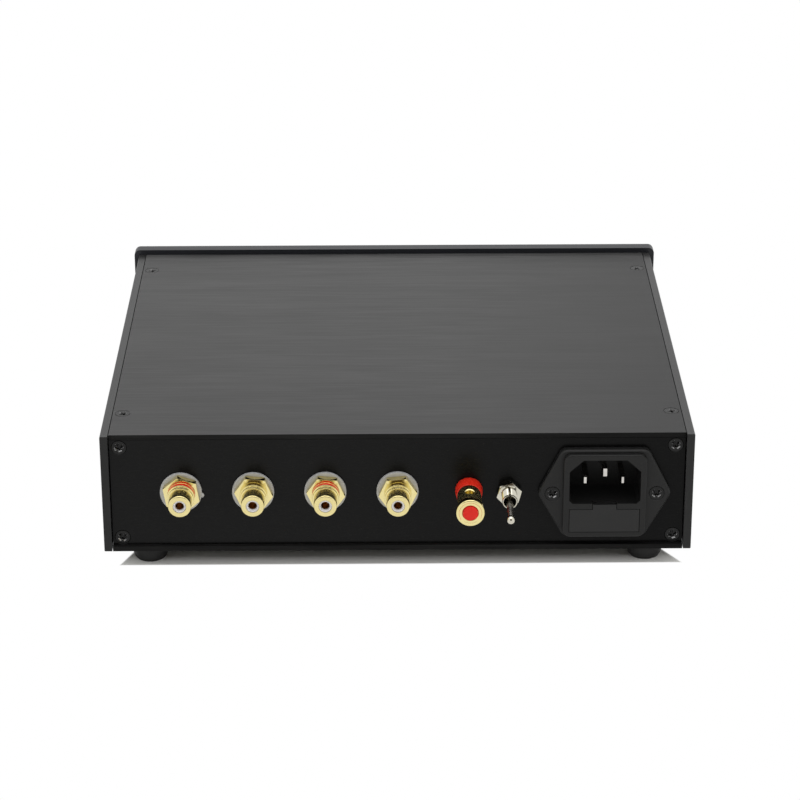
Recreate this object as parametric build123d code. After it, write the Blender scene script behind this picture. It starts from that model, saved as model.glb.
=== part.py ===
"""Phono preamplifier in a flat aluminium case, built as separate sub-parts.

Millimetres. +Z is up, the front panel faces -Y and the connectors face +Y.
The origin is the centre of the object's bounding box, at the height of the
surface that the feet stand on.
"""
import os
from math import cos, radians, sin, sqrt

from build123d import *

os.makedirs("parts", exist_ok=True)

# ---------------------------------------------------------------- case
BODY_WIDTH = 227.0  # over the two side panels
BODY_DEPTH = 199.0  # length of a side panel
BODY_HEIGHT = 48.4  # height of a side panel
SIDE_WALL = 3.0
SIDE_EDGE_ROUND = 0.4
RAIL_WIDTH = 8.2  # screw rail along the inside of a side panel
RAIL_HEIGHT = 6.5
COVER_THICKNESS = 2.0
COVER_GAP = 0.3  # seam between a cover and a side panel
JOINT_GAP = 0.1  # seam between parts that are screwed face to face
COVER_SCREW_REAR = 22.6  # from the rear end of the side panels
COVER_SCREW_FRONT = 19.6  # from the front end of the side panels

PANEL_THICKNESS = 3.0  # rear panel
PANEL_RECESS = 1.7  # rear panel behind the ends of the side panels
PANEL_SIDE_GAP = 0.45  # rear panel to a side panel
FRONT_MARGIN_SIDE = 2.1  # front panel beyond the case at each side
FRONT_MARGIN_HEIGHT = 2.2  # and above and below
FRONT_THICKNESS = 6.0
FRONT_CORNER = 2.5
FRONT_EDGE_ROUND = 1.0

# ---------------------------------------------------------------- fasteners
SCREW_RADIUS = 1.45  # M3 shank
SCREW_HEAD_RADIUS = 2.8  # countersunk head
SCREW_HEAD_RIM = 0.15  # upright edge of the countersunk head
SCREW_SINK = 0.08  # head below the surface
RECESS_WIDTH = 0.8  # one arm of the cross recess
RECESS_LENGTH = 3.2
RECESS_DEPTH = 1.2
SCREW_TURNS = (40.0, 20.0, 20.0, 45.0)  # how far each screw of a set of four was turned
INLET_SCREW_TURNS = (45.0, 35.0)
PAN_HEAD_RADIUS = 2.75
PAN_HEAD_HEIGHT = 1.8
COVER_SCREW_LENGTH = 6.0
PANEL_SCREW_LENGTH = 10.0
FRONT_SCREW_LENGTH = 14.0
M3_NUT_FLATS = 5.5
M3_NUT_HEIGHT = 2.4
SEAT_GAP = 0.07  # between a countersunk head and its seat
HOLE_GAP = 0.2  # round a shank in a clearance hole
THREAD_GAP = 0.05  # round a shank in a tapped hole
FACE_GAP = 0.05  # between faces that are clamped together
CUT_MARGIN = 1.0  # how far a cutting tool runs past a face

# ---------------------------------------------------------------- feet
FOOT_HEIGHT = 8.3
FOOT_TOP_RADIUS = 7.2
FOOT_FLAT_RADIUS = 5.2  # ring that stands on the table
FOOT_BAND = 1.5  # upright band under the case
FOOT_RECESS_RADIUS = 4.2
FOOT_RECESS_DEPTH = 4.0
FOOT_INSET_SIDE = 16.95  # from the side of the case to the foot's axis
FOOT_INSET_END = 13.0  # from the end of the case to the foot's axis
FOOT_SCREW_RADIUS = 1.95
FOOT_SCREW_HEAD_RADIUS = 3.6
FOOT_SCREW_HEAD_HEIGHT = 2.4
FOOT_NUT_FLATS = 7.0
FOOT_NUT_HEIGHT = 3.2

# ---------------------------------------------------------------- phono jacks
JACK_COUNT = 4
JACK_INSET = 30.3  # from the side of the case to the first jack
JACK_RAISE = 0.45  # above the middle of the rear panel
JACK_TURNS = (-20.0, -6.0, -6.0, 5.0)  # how far each hexagon was turned when tightened
JACK_STUD_RADIUS = 4.0
JACK_STUD_LENGTH = 14.0  # behind the panel's outer face
JACK_HEX_FLATS = 12.9
JACK_HEX_LENGTH = 3.1
JACK_COLLAR_RADIUS = 5.3
JACK_COLLAR_LENGTH = 2.3
JACK_STEP_RADIUS = 4.9
JACK_STEP_LENGTH = 1.2
JACK_BARREL_RADIUS = 4.25
JACK_BARREL_ROUND = 1.2
JACK_REACH = 14.6  # tip of the barrel beyond the panel
JACK_EDGE = 0.3
JACK_RING_WALL = 0.5
JACK_RING_INSET = 0.6  # gold between the hexagon and the coloured ring
JACK_RING_WIDTH = 1.2
JACK_WASHER_RADIUS = 8.0
JACK_WASHER_HEIGHT = 1.3
JACK_WASHER_ROUND = 0.5
JACK_SHOULDER_RADIUS = 4.9
JACK_SHOULDER_DEPTH = 2.6
JACK_INNER_WASHER_RADIUS = 7.0
JACK_INNER_WASHER_HEIGHT = 1.2
JACK_TAG_RADIUS = 6.0
JACK_TAG_HEIGHT = 0.5
JACK_TAG_WIDTH = 3.0
JACK_TAG_REACH = 10.0
JACK_NUT_FLATS = 11.0
JACK_NUT_HEIGHT = 2.5
INSULATOR_RADIUS = 2.6
INSULATOR_LIP = 1.4
INSULATOR_DISH = 0.5
CONTACT_BORE = 1.65
CONTACT_WALL = 0.25
CONTACT_BORE_DEPTH = 15.0
CONTACT_TAIL_RADIUS = 1.1
CONTACT_TAIL_LENGTH = 4.0

# ---------------------------------------------------------------- ground post
POST_TO_TOGGLE = 15.1  # from the ground post to the toggle switch
POST_BASE_RADIUS = 5.3
POST_BASE_LENGTH = 5.4
POST_BASE_TAPER_LENGTH = 3.8
POST_BASE_TAPER = 0.5
POST_BODY_RADIUS = 4.65
POST_BODY_LENGTH = 11.4
POST_STUD_RADIUS = 2.45
POST_STUD_LENGTH = 17.0
POST_HOLE_RADIUS = 1.8
POST_HOLE_OFFSET = 5.8  # from the rear end of the gold body to the hole's axis
POST_HOLE_CHAMFER = 0.3
POST_WASHER_RADIUS = 5.0
POST_WASHER_HEIGHT = 0.8
POST_KNOB_RADIUS = 5.5
POST_KNOB_LENGTH = 3.2
POST_KNOB_ROUND = 0.8
POST_STEM_RADIUS = 1.9
POST_STEM_TRAVEL = 4.0
POST_INSERT_RADIUS = 3.0
POST_INSERT_HEIGHT = 1.2
POST_INSERT_PROUD = 0.5
POST_INNER_WASHER_RADIUS = 6.0
POST_INNER_WASHER_HEIGHT = 2.0
POST_NUT_FLATS = 8.0
POST_NUT_HEIGHT = 3.0
RUNNING_GAP = 0.06  # radial clearance of a turning or sliding pair

# ---------------------------------------------------------------- toggle switch
TOGGLE_TO_INLET = 36.6  # from the toggle switch to the middle of the inlet
TOGGLE_BUSH_RADIUS = 2.95
TOGGLE_BUSH_REACH = 10.2
TOGGLE_MOUTH_RADIUS = 2.4
TOGGLE_PIVOT_REACH = 6.1  # from the panel's outer face to the pivot
TOGGLE_BALL_RADIUS = 1.8  # pivot ball
TOGGLE_PIVOT_RADIUS = 0.5  # cross pin through the ball
TOGGLE_PIVOT_WALL = 0.4  # wall left outside the pin's holes
TOGGLE_KEYWAY_WIDTH = 0.9
TOGGLE_KEYWAY_DEPTH = 0.45
TOGGLE_LEVER_LENGTH = 13.8  # pivot to the middle of the round end
TOGGLE_LEVER_ROOT_RADIUS = 1.42
TOGGLE_LEVER_NECK_RADIUS = 1.1
TOGGLE_LEVER_END_RADIUS = 1.6
TOGGLE_LEVER_HEAD = 1.5  # length of the cone under the round end
TOGGLE_TAIL_LENGTH = 3.2
TOGGLE_TAIL_RADIUS = 0.75
TOGGLE_TILT = 12.5  # each way from the axis
TOGGLE_NUT_FLATS = 8.6
TOGGLE_NUT_HEIGHT = 2.7
TOGGLE_NUT_TURN = 15.0
TOGGLE_LOCK_RADIUS = 4.2
TOGGLE_LOCK_HEIGHT = 1.1
TOGGLE_INNER_NUT_HEIGHT = 2.0
TOGGLE_BODY_WIDTH = 12.0
TOGGLE_BODY_HEIGHT = 13.0
TOGGLE_BODY_DEPTH = 10.0
TOGGLE_PIN_PITCH = 4.8
TOGGLE_PIN_COLUMNS = 2
TOGGLE_PIN_ROWS = 3
TOGGLE_PIN_WIDTH = 2.0
TOGGLE_PIN_THICKNESS = 0.8
TOGGLE_PIN_LENGTH = 4.0

# ---------------------------------------------------------------- mains inlet
INLET_INSET = 34.1  # from the side of the case to the middle of the inlet
INLET_SCREW_PITCH = 40.0
FLANGE_HALF_HEIGHT = 18.25
FLANGE_TOP_HALF = 16.5
FLANGE_BOTTOM_HALF = 15.5
FLANGE_TIP_HALF = 25.7
FLANGE_CORNER = 3.5
FLANGE_THICKNESS = 3.0
FLANGE_BEVEL = 0.5
BLOCK_WIDTH = 31.9
BLOCK_TOP = 16.9  # above the middle of the flange
BLOCK_BOTTOM = -17.5
BLOCK_CORNER = 3.2
BLOCK_REACH = 5.0
INLET_BODY_WIDTH = 30.6
INLET_BODY_DEPTH = 30.0  # behind the panel's outer face
RECESS_HALF_WIDTH = 13.65
RECESS_TOP = 14.8
RECESS_BOTTOM = -3.4
RECESS_CHAMFER_X = 5.3
RECESS_CHAMFER_Y = 4.8
RECESS_LOWER_CHAMFER = 1.3
SOCKET_DEPTH = 12.0  # floor of the recess behind the panel's outer face
PIN_WIDTH = 2.0
PIN_HEIGHT = 4.0
PIN_HALF_PITCH = 7.0
PIN_ROW_LOW = 4.0
PIN_ROW_HIGH = 8.0
PIN_LIVE_REACH = 0.0
PIN_EARTH_REACH = 1.0
PIN_TAIL = 8.0
DRAWER_WIDTH = 26.8
DRAWER_LOW = -15.3
DRAWER_HIGH = -5.9
DRAWER_TAB_WIDTH = 9.1
DRAWER_TAB_HIGH = -3.8
DRAWER_TAB_THICKNESS = 2.3
DRAWER_FACE_THICKNESS = 3.0
DRAWER_DEPTH = 23.0
DRAWER_GAP = 0.2
FUSE_RADIUS = 2.6
FUSE_LENGTH = 20.0
FUSE_GAP = 0.2
FUSE_FIRST_SETBACK = 7.5  # from the drawer's face to the nearer fuse
FUSE_PITCH = 9.0
POCKET_FLOOR = 1.5

# ---------------------------------------------------------------- front controls
BUTTON_INSET = 33.5  # from the side of the case to the power button
BUTTON_CAP_RADIUS = 6.1
BUTTON_PROUD = 3.5
BUTTON_TRAVEL = 2.5
BUTTON_CAP_LENGTH = 11.0
BUTTON_CAP_ROUND = 0.6
BUTTON_STEM_RADIUS = 2.0
BUTTON_STEM_LENGTH = 7.0
BEZEL_FLANGE_RADIUS = 9.0
BEZEL_FLANGE_HEIGHT = 1.5
BEZEL_BARREL_RADIUS = 7.9
BEZEL_DEPTH = 14.0
BUTTON_NUT_FLATS = 19.0
BUTTON_NUT_HEIGHT = 3.0
SWITCH_RADIUS = 7.7
SWITCH_LENGTH = 12.0
SWITCH_TAB_OFFSET = 4.0
SWITCH_TAB_WIDTH = 2.8
SWITCH_TAB_THICKNESS = 0.6
SWITCH_TAB_LENGTH = 6.0
BUTTON_TO_LED = 24.0
LED_RADIUS = 2.45
LED_PROUD = 1.6
LED_LENGTH = 9.0
LED_BEZEL_RADIUS = 4.0
LED_BEZEL_HEIGHT = 1.0
LED_BARREL_RADIUS = 3.2
LED_BARREL_LENGTH = 8.0

# ---------------------------------------------------------------- circuit board
BOARD_MARGIN = 13.0  # from the side panel's inner face to the board
BOARD_OVERHANG = 14.5  # board beyond the last jack's axis
BOARD_REAR_SETBACK = 22.0  # from the rear panel's inner face
BOARD_FRONT_SETBACK = 30.0  # from the front panel's inner face
BOARD_THICKNESS = 1.6
BOARD_HOLE_INSET = 5.0
STANDOFF_HEIGHT = 6.0
STANDOFF_FLATS = 5.5
BOARD_SCREW_LENGTH = 4.5
CAN_RADIUS = 8.0
CAN_HEIGHT = 25.0
CAN_COUNT = 4
CAN_PITCH = 18.5
CAN_ROUND = 0.5
BOARD_ROW_POWER = 20.0  # from the board's front edge to the row of cans
FILM_COUNT = 8
FILM_PITCH = 12.5
FILM_WIDTH = 5.0
FILM_DEPTH = 13.0
FILM_HEIGHT = 11.0
FILM_SETBACK = 32.0  # from the board's rear edge
CHIP_COUNT = 4
CHIP_PITCH = 25.0
CHIP_WIDTH = 9.6
CHIP_DEPTH = 6.4
CHIP_HEIGHT = 3.4
SOCKET_HEIGHT = 4.0
SOCKET_MARGIN = 0.5
CHIP_SETBACK = 50.0  # and to the row of chips
RECTIFIER_WIDTH = 20.0
RECTIFIER_DEPTH = 5.0
RECTIFIER_HEIGHT = 15.0
RECTIFIER_OFFSET = 22.0  # from the row of cans towards the rear
SINK_COUNT = 2
SINK_PITCH = 40.0
SINK_WIDTH = 24.0
SINK_HEIGHT = 25.0
SINK_WEB = 2.0
SINK_FIN_COUNT = 6
SINK_FIN_LENGTH = 9.0
SINK_FIN_WIDTH = 1.6
SINK_OFFSET = 38.0  # from the row of cans to the heat sinks
REGULATOR_WIDTH = 10.0
REGULATOR_DEPTH = 4.5
REGULATOR_HEIGHT = 18.0
TERMINAL_WIDTH = 10.0
TERMINAL_DEPTH = 8.0
TERMINAL_HEIGHT = 9.0
TERMINAL_INSET = 1.0

# ---------------------------------------------------------------- transformer
TRANSFORMER_INSET = 48.5  # from the side panel's inner face to the axis
TRANSFORMER_RADIUS = 28.0
TRANSFORMER_CORE = 9.0
TRANSFORMER_HEIGHT = 24.0
TRANSFORMER_ROUND = 6.0
PAD_RADIUS = 26.0
PAD_HEIGHT = 1.5
DISH_RADIUS = 22.0
DISH_HEIGHT = 1.5
BOLT_RADIUS = 2.45
BOLT_HEAD_RADIUS = 5.0
BOLT_HEAD_HEIGHT = 2.2
BOLT_SPARE = 3.0  # thread beyond the nut
BOLT_NUT_FLATS = 8.0
BOLT_NUT_HEIGHT = 4.0

# ---------------------------------------------------------------- wiring
WIRE_RADIUS = 0.9
WIRE_BEND = 3.5
WIRE_GAP = 0.2  # end of a wire to its terminal
WIRE_SPREAD = 3.0  # between runs that lie side by side
SELECTOR_LEAD_SETBACK = 12.0  # from the terminal blocks to the switch's leads
SELECTOR_LEAD_INSET = 4.0  # from the board's edge to the first lead

# ---------------------------------------------------------------- derived
HALF_WIDTH = BODY_WIDTH / 2
HALF_INNER = HALF_WIDTH - SIDE_WALL
RAIL_X = HALF_INNER - RAIL_WIDTH / 2
BODY_Z = FOOT_HEIGHT
TOP_Z = BODY_Z + BODY_HEIGHT
MID_Z = BODY_Z + BODY_HEIGHT / 2
FLOOR_Z = BODY_Z + COVER_THICKNESS
RAIL_LOW_Z = FLOOR_Z + RAIL_HEIGHT / 2
RAIL_HIGH_Z = TOP_Z - COVER_THICKNESS - RAIL_HEIGHT / 2
JACK_Z = MID_Z + JACK_RAISE

POST_KNOB_START = POST_BASE_LENGTH + POST_BODY_LENGTH + POST_WASHER_HEIGHT + 2 * FACE_GAP
POST_REACH = POST_KNOB_START + POST_KNOB_LENGTH
LEVER_REACH = (
    TOGGLE_PIVOT_REACH + TOGGLE_LEVER_LENGTH * cos(radians(TOGGLE_TILT)) + TOGGLE_LEVER_END_RADIUS
)
REAR_REACH = max(POST_REACH, LEVER_REACH, JACK_REACH) - PANEL_RECESS
FRONT_REACH = FRONT_THICKNESS + BUTTON_PROUD
REAR_Y = (BODY_DEPTH + FRONT_REACH - REAR_REACH) / 2  # rear ends of the side panels
FRONT_Y = REAR_Y - BODY_DEPTH  # front ends of the side panels
PANEL_Y = REAR_Y - PANEL_RECESS  # outer face of the rear panel
PANEL_INNER_Y = PANEL_Y - PANEL_THICKNESS
FACE_Y = FRONT_Y - FRONT_THICKNESS  # outer face of the front panel
COVER_SCREW_YS = (REAR_Y - COVER_SCREW_REAR, FRONT_Y + COVER_SCREW_FRONT)
INLET_X = INLET_INSET - HALF_WIDTH
TOGGLE_X = INLET_X + TOGGLE_TO_INLET
POST_X = TOGGLE_X + POST_TO_TOGGLE
JACK_FIRST_X = HALF_WIDTH - JACK_INSET
JACK_PITCH = (JACK_FIRST_X - POST_X) / JACK_COUNT  # jacks and post stand at even spacing
JACK_XS = [JACK_FIRST_X - i * JACK_PITCH for i in range(JACK_COUNT)]
BUTTON_X = BUTTON_INSET - HALF_WIDTH
LED_X = BUTTON_X + BUTTON_TO_LED
FOOT_X = HALF_WIDTH - FOOT_INSET_SIDE
FOOT_YS = (REAR_Y - FOOT_INSET_END, FRONT_Y + FOOT_INSET_END)
JACK_COLLAR_START = JACK_WASHER_HEIGHT + JACK_HEX_LENGTH
JACK_STEP_START = JACK_COLLAR_START + JACK_COLLAR_LENGTH
JACK_BARREL_START = JACK_STEP_START + JACK_STEP_LENGTH
CONTACT_RADIUS = CONTACT_BORE + CONTACT_WALL
JACK_TAIL_REACH = JACK_STUD_LENGTH + CONTACT_TAIL_LENGTH
BOARD_RIGHT_X = HALF_INNER - BOARD_MARGIN
BOARD_WIDTH = BOARD_RIGHT_X - (JACK_XS[-1] - BOARD_OVERHANG)
BOARD_X = BOARD_RIGHT_X - BOARD_WIDTH / 2
BOARD_REAR_Y = PANEL_INNER_Y - BOARD_REAR_SETBACK
BOARD_FRONT_Y = FRONT_Y + BOARD_FRONT_SETBACK
BOARD_DEPTH = BOARD_REAR_Y - BOARD_FRONT_Y
BOARD_Y = BOARD_REAR_Y - BOARD_DEPTH / 2
BOARD_Z = FLOOR_Z + STANDOFF_HEIGHT
BOARD_TOP_Z = BOARD_Z + BOARD_THICKNESS
TRANSFORMER_X = TRANSFORMER_INSET - HALF_INNER
INLET_TAIL_Y = PANEL_Y - INLET_BODY_DEPTH - PIN_TAIL
SWITCH_TAB_Y = FACE_Y + BEZEL_DEPTH + SWITCH_LENGTH + SWITCH_TAB_LENGTH + 2 * FACE_GAP
TRANSFORMER_Y = (INLET_TAIL_Y + SWITCH_TAB_Y) / 2
TRANSFORMER_Z = FLOOR_Z + PAD_HEIGHT
TRANSFORMER_TOP_Z = TRANSFORMER_Z + TRANSFORMER_HEIGHT
CENTRE_LOW = (Align.CENTER, Align.CENTER, Align.MIN)
SIDES = (1, -1)

parts = {}


# ---------------------------------------------------------------- shape helpers
def rear_at(x, z):
    """Location on the rear panel's outer face: local x is the viewer's right, z is outwards."""
    return Plane(origin=(x, PANEL_Y, z), x_dir=(-1, 0, 0), z_dir=(0, 1, 0)).location


def front_at(x, z):
    """Location on the front panel's outer face: local x is the viewer's right, z is outwards."""
    return Plane(origin=(x, FACE_Y, z), x_dir=(1, 0, 0), z_dir=(0, -1, 0)).location


def disc(radius, low, high):
    return Pos(0, 0, low) * Cylinder(radius, high - low, align=CENTRE_LOW)


def tube(radius, bore, low, high):
    return disc(radius, low, high) - disc(bore, low - CUT_MARGIN, high + CUT_MARGIN)


def slab(width, depth, low, high, x=0.0, y=0.0):
    return Pos(x, y, low) * Box(width, depth, high - low, align=CENTRE_LOW)


def lathe(*points):
    """Solid of revolution about Z from (radius, height) points."""
    return revolve(Plane.XZ * make_face(Polyline(*points, close=True)), Axis.Z)


def hexagon(flats, low, high, turn=0.0):
    outline = RegularPolygon(flats / 2, 6, major_radius=False, rotation=turn)
    return Pos(0, 0, low) * extrude(outline, high - low)


def chamfered_hexagon(flats, low, high, turn=0.0):
    """Hexagon whose corners are cut back at both ends, as on a turned nut."""
    corner = flats / sqrt(3)
    edge = flats / 2
    drop = (corner - edge) / 2
    cone = lathe(
        (0, low), (edge, low), (corner, low + drop), (corner, high - drop), (edge, high), (0, high)
    )
    return hexagon(flats, low, high, turn) & cone


def nut(flats, bore, low, high, turn=0.0):
    return chamfered_hexagon(flats, low, high, turn) - disc(bore, low - CUT_MARGIN, high + CUT_MARGIN)


def cross_recess(depth):
    arm = slab(RECESS_WIDTH, RECESS_LENGTH, -depth, CUT_MARGIN)
    other = slab(RECESS_LENGTH, RECESS_WIDTH, -depth, CUT_MARGIN)
    return arm + other


def flat_screw(length):
    """Countersunk cross-head screw: the head lies just under z = 0 and the shank runs down."""
    rim = -SCREW_SINK - SCREW_HEAD_RIM
    body = lathe(
        (0, -SCREW_SINK),
        (SCREW_HEAD_RADIUS, -SCREW_SINK),
        (SCREW_HEAD_RADIUS, rim),
        (SCREW_RADIUS, rim + SCREW_RADIUS - SCREW_HEAD_RADIUS),
        (SCREW_RADIUS, -length),
        (0, -length),
    )
    return body - cross_recess(RECESS_DEPTH)


def flat_screw_hole(depth):
    """Tool for a clearance hole whose countersink reaches the surface."""
    mouth = SCREW_HEAD_RADIUS + SEAT_GAP + SCREW_HEAD_RIM + SCREW_SINK
    hole = SCREW_RADIUS + HOLE_GAP
    return lathe(
        (0, CUT_MARGIN),
        (mouth, CUT_MARGIN),
        (mouth, 0),
        (hole, hole - mouth),
        (hole, -depth - CUT_MARGIN),
        (0, -depth - CUT_MARGIN),
    )


def pan_screw(head_radius, head_height, shank_radius, length):
    """Pan-head screw: the head stands on z = 0 and the shank runs down."""
    head = fillet(disc(head_radius, 0, head_height).edges().group_by(Axis.Z)[-1], head_height / 3)
    return head + disc(shank_radius, -length, 0) - Pos(0, 0, head_height) * cross_recess(head_height / 2)


def group(*pieces):
    """Several separate solids in one node."""
    return Compound([solid for piece in pieces for solid in piece.solids()])


def wire(*points):
    """Round wire along straight runs joined by tangent arcs."""
    path = FilletPolyline(*points, radius=WIRE_BEND) if len(points) > 2 else Line(*points)
    section = Plane(origin=path @ 0, z_dir=path % 0) * Circle(WIRE_RADIUS)
    return sweep(section, path=path)


def at_all(tool, places):
    """Copies of a tool at several locations."""
    return [place * tool for place in places]


def screw_set(screw, places, turns):
    """One screw at each place, each turned as far as it was tightened."""
    return group(*[place * Rot(0, 0, turn) * screw for place, turn in zip(places, turns)])


def four_corners(half_x, ys, z):
    return [Location((side * half_x, y, z)) for side in SIDES for y in ys]


# ---------------------------------------------------------------- fastener places
TOP_SCREW_PLACES = four_corners(RAIL_X, COVER_SCREW_YS, TOP_Z)
BOTTOM_SCREW_PLACES = [
    place * Rot(180, 0, 0) for place in four_corners(RAIL_X, COVER_SCREW_YS, BODY_Z)
]
RAIL_POINTS = [(side * RAIL_X, z) for side in SIDES for z in (RAIL_LOW_Z, RAIL_HIGH_Z)]
PANEL_SCREW_PLACES = [rear_at(x, z) for x, z in RAIL_POINTS]
FRONT_SCREW_PLACES = [front_at(x, z) for x, z in RAIL_POINTS]
FOOT_PLACES = four_corners(FOOT_X, FOOT_YS, 0)
BOARD_HOLE_X = BOARD_WIDTH / 2 - BOARD_HOLE_INSET
BOARD_HOLE_Y = BOARD_DEPTH / 2 - BOARD_HOLE_INSET
BOARD_POST_XYS = [
    (BOARD_X + sx * BOARD_HOLE_X, BOARD_Y + sy * BOARD_HOLE_Y) for sx in SIDES for sy in SIDES
]


# ---------------------------------------------------------------- case parts
def side_panel(side):
    wall = Pos(side * (HALF_WIDTH - SIDE_WALL / 2), (REAR_Y + FRONT_Y) / 2, MID_Z) * Box(
        SIDE_WALL, BODY_DEPTH, BODY_HEIGHT
    )
    outer = wall.edges().filter_by(Axis.Y).group_by(Axis.X)[-1 if side > 0 else 0]
    panel = fillet(outer, SIDE_EDGE_ROUND)
    rail_length = PANEL_INNER_Y - JOINT_GAP - FRONT_Y
    for z in (RAIL_LOW_Z, RAIL_HIGH_Z):
        rail_y = FRONT_Y + rail_length / 2
        panel += Pos(side * RAIL_X, rail_y, z) * Box(RAIL_WIDTH, rail_length, RAIL_HEIGHT)
        bore = Cylinder(SCREW_RADIUS + THREAD_GAP, BODY_DEPTH + CUT_MARGIN, rotation=(90, 0, 0))
        panel -= Pos(side * RAIL_X, (REAR_Y + FRONT_Y) / 2, z) * bore
        for y in COVER_SCREW_YS:
            drill = Cylinder(SCREW_RADIUS + THREAD_GAP, RAIL_HEIGHT + CUT_MARGIN)
            panel -= Pos(side * RAIL_X, y, z) * drill
    return panel


def cover(low, rear_y):
    front_y = FRONT_Y + JOINT_GAP
    width = 2 * (HALF_INNER - COVER_GAP)
    return slab(width, rear_y - front_y, low, low + COVER_THICKNESS, y=(rear_y + front_y) / 2)


def top_cover():
    plate = cover(TOP_Z - COVER_THICKNESS, PANEL_Y)
    return plate - at_all(flat_screw_hole(COVER_THICKNESS), TOP_SCREW_PLACES)


def bottom_cover():
    plate = cover(BODY_Z, REAR_Y)
    plate -= at_all(flat_screw_hole(COVER_THICKNESS), BOTTOM_SCREW_PLACES)
    foot_hole = disc(FOOT_SCREW_RADIUS + HOLE_GAP, BODY_Z - CUT_MARGIN, FLOOR_Z + CUT_MARGIN)
    plate -= at_all(foot_hole, FOOT_PLACES)
    for x, y in BOARD_POST_XYS:
        plate -= Pos(x, y, BODY_Z) * Rot(180, 0, 0) * flat_screw_hole(COVER_THICKNESS)
    bolt_hole = disc(BOLT_RADIUS + HOLE_GAP, BODY_Z - CUT_MARGIN, FLOOR_Z + CUT_MARGIN)
    return plate - Pos(TRANSFORMER_X, TRANSFORMER_Y, 0) * bolt_hole


def rear_panel():
    width = 2 * (HALF_INNER - PANEL_SIDE_GAP)
    height = BODY_HEIGHT - 2 * (COVER_THICKNESS + JOINT_GAP)
    panel = Pos(0, PANEL_Y - PANEL_THICKNESS / 2, MID_Z) * Box(width, PANEL_THICKNESS, height)
    panel -= at_all(flat_screw_hole(PANEL_THICKNESS), PANEL_SCREW_PLACES)
    through = (-PANEL_THICKNESS - CUT_MARGIN, CUT_MARGIN)
    for x in JACK_XS:
        panel -= rear_at(x, JACK_Z) * disc(JACK_SHOULDER_RADIUS + THREAD_GAP, *through)
    panel -= rear_at(POST_X, JACK_Z) * disc(POST_STUD_RADIUS + HOLE_GAP, *through)
    panel -= rear_at(TOGGLE_X, MID_Z) * disc(TOGGLE_BUSH_RADIUS + THREAD_GAP, *through)
    cutout = slab(
        INLET_BODY_WIDTH + 2 * HOLE_GAP,
        inlet_body_height() + 2 * HOLE_GAP,
        *through,
        y=inlet_body_middle(),
    )
    panel -= rear_at(INLET_X, MID_Z) * cutout
    for place in inlet_screw_places():
        panel -= place * disc(SCREW_RADIUS + HOLE_GAP, *through)
    return panel


def front_panel():
    width = BODY_WIDTH + 2 * FRONT_MARGIN_SIDE
    height = BODY_HEIGHT + 2 * FRONT_MARGIN_HEIGHT
    outline = RectangleRounded(width, height, FRONT_CORNER)
    plate = Pos(0, 0, -FRONT_THICKNESS) * extrude(outline, FRONT_THICKNESS)
    plate = fillet(plate.edges().group_by(Axis.Z)[-1], FRONT_EDGE_ROUND)
    panel = front_at(0, MID_Z) * plate
    panel -= at_all(flat_screw_hole(FRONT_THICKNESS), FRONT_SCREW_PLACES)
    through = (-FRONT_THICKNESS - CUT_MARGIN, CUT_MARGIN)
    panel -= front_at(BUTTON_X, MID_Z) * disc(BEZEL_BARREL_RADIUS + HOLE_GAP, *through)
    return panel - front_at(LED_X, MID_Z) * disc(LED_BARREL_RADIUS + THREAD_GAP, *through)


def rubber_foot():
    middle = (FOOT_TOP_RADIUS - FOOT_FLAT_RADIUS) * sin(radians(45))
    band_z = FOOT_HEIGHT - FOOT_BAND
    top_z = FOOT_HEIGHT - FACE_GAP
    bulge = ThreePointArc(
        (FOOT_FLAT_RADIUS, 0),
        (FOOT_FLAT_RADIUS + middle, band_z * (1 - sin(radians(45)))),
        (FOOT_TOP_RADIUS, band_z),
    )
    hole = FOOT_SCREW_RADIUS + THREAD_GAP
    rest = Polyline(
        (FOOT_TOP_RADIUS, band_z),
        (FOOT_TOP_RADIUS, top_z),
        (hole, top_z),
        (hole, FOOT_RECESS_DEPTH),
        (FOOT_RECESS_RADIUS, FOOT_RECESS_DEPTH),
        (FOOT_RECESS_RADIUS, 0),
        (FOOT_FLAT_RADIUS, 0),
    )
    return revolve(Plane.XZ * make_face([bulge, *rest.edges()]), Axis.Z)


def foot_bolt():
    """Foot screw, pushed up from below, and the nut on the inside of the case."""
    length = FLOOR_Z + FOOT_NUT_HEIGHT + CUT_MARGIN - FOOT_RECESS_DEPTH
    screw = pan_screw(FOOT_SCREW_HEAD_RADIUS, FOOT_SCREW_HEAD_HEIGHT, FOOT_SCREW_RADIUS, length)
    screw = Pos(0, 0, FOOT_RECESS_DEPTH - FACE_GAP) * Rot(180, 0, 0) * screw
    low = FLOOR_Z + FACE_GAP
    return group(screw, nut(FOOT_NUT_FLATS, FOOT_SCREW_RADIUS + THREAD_GAP, low, low + FOOT_NUT_HEIGHT))


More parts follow.
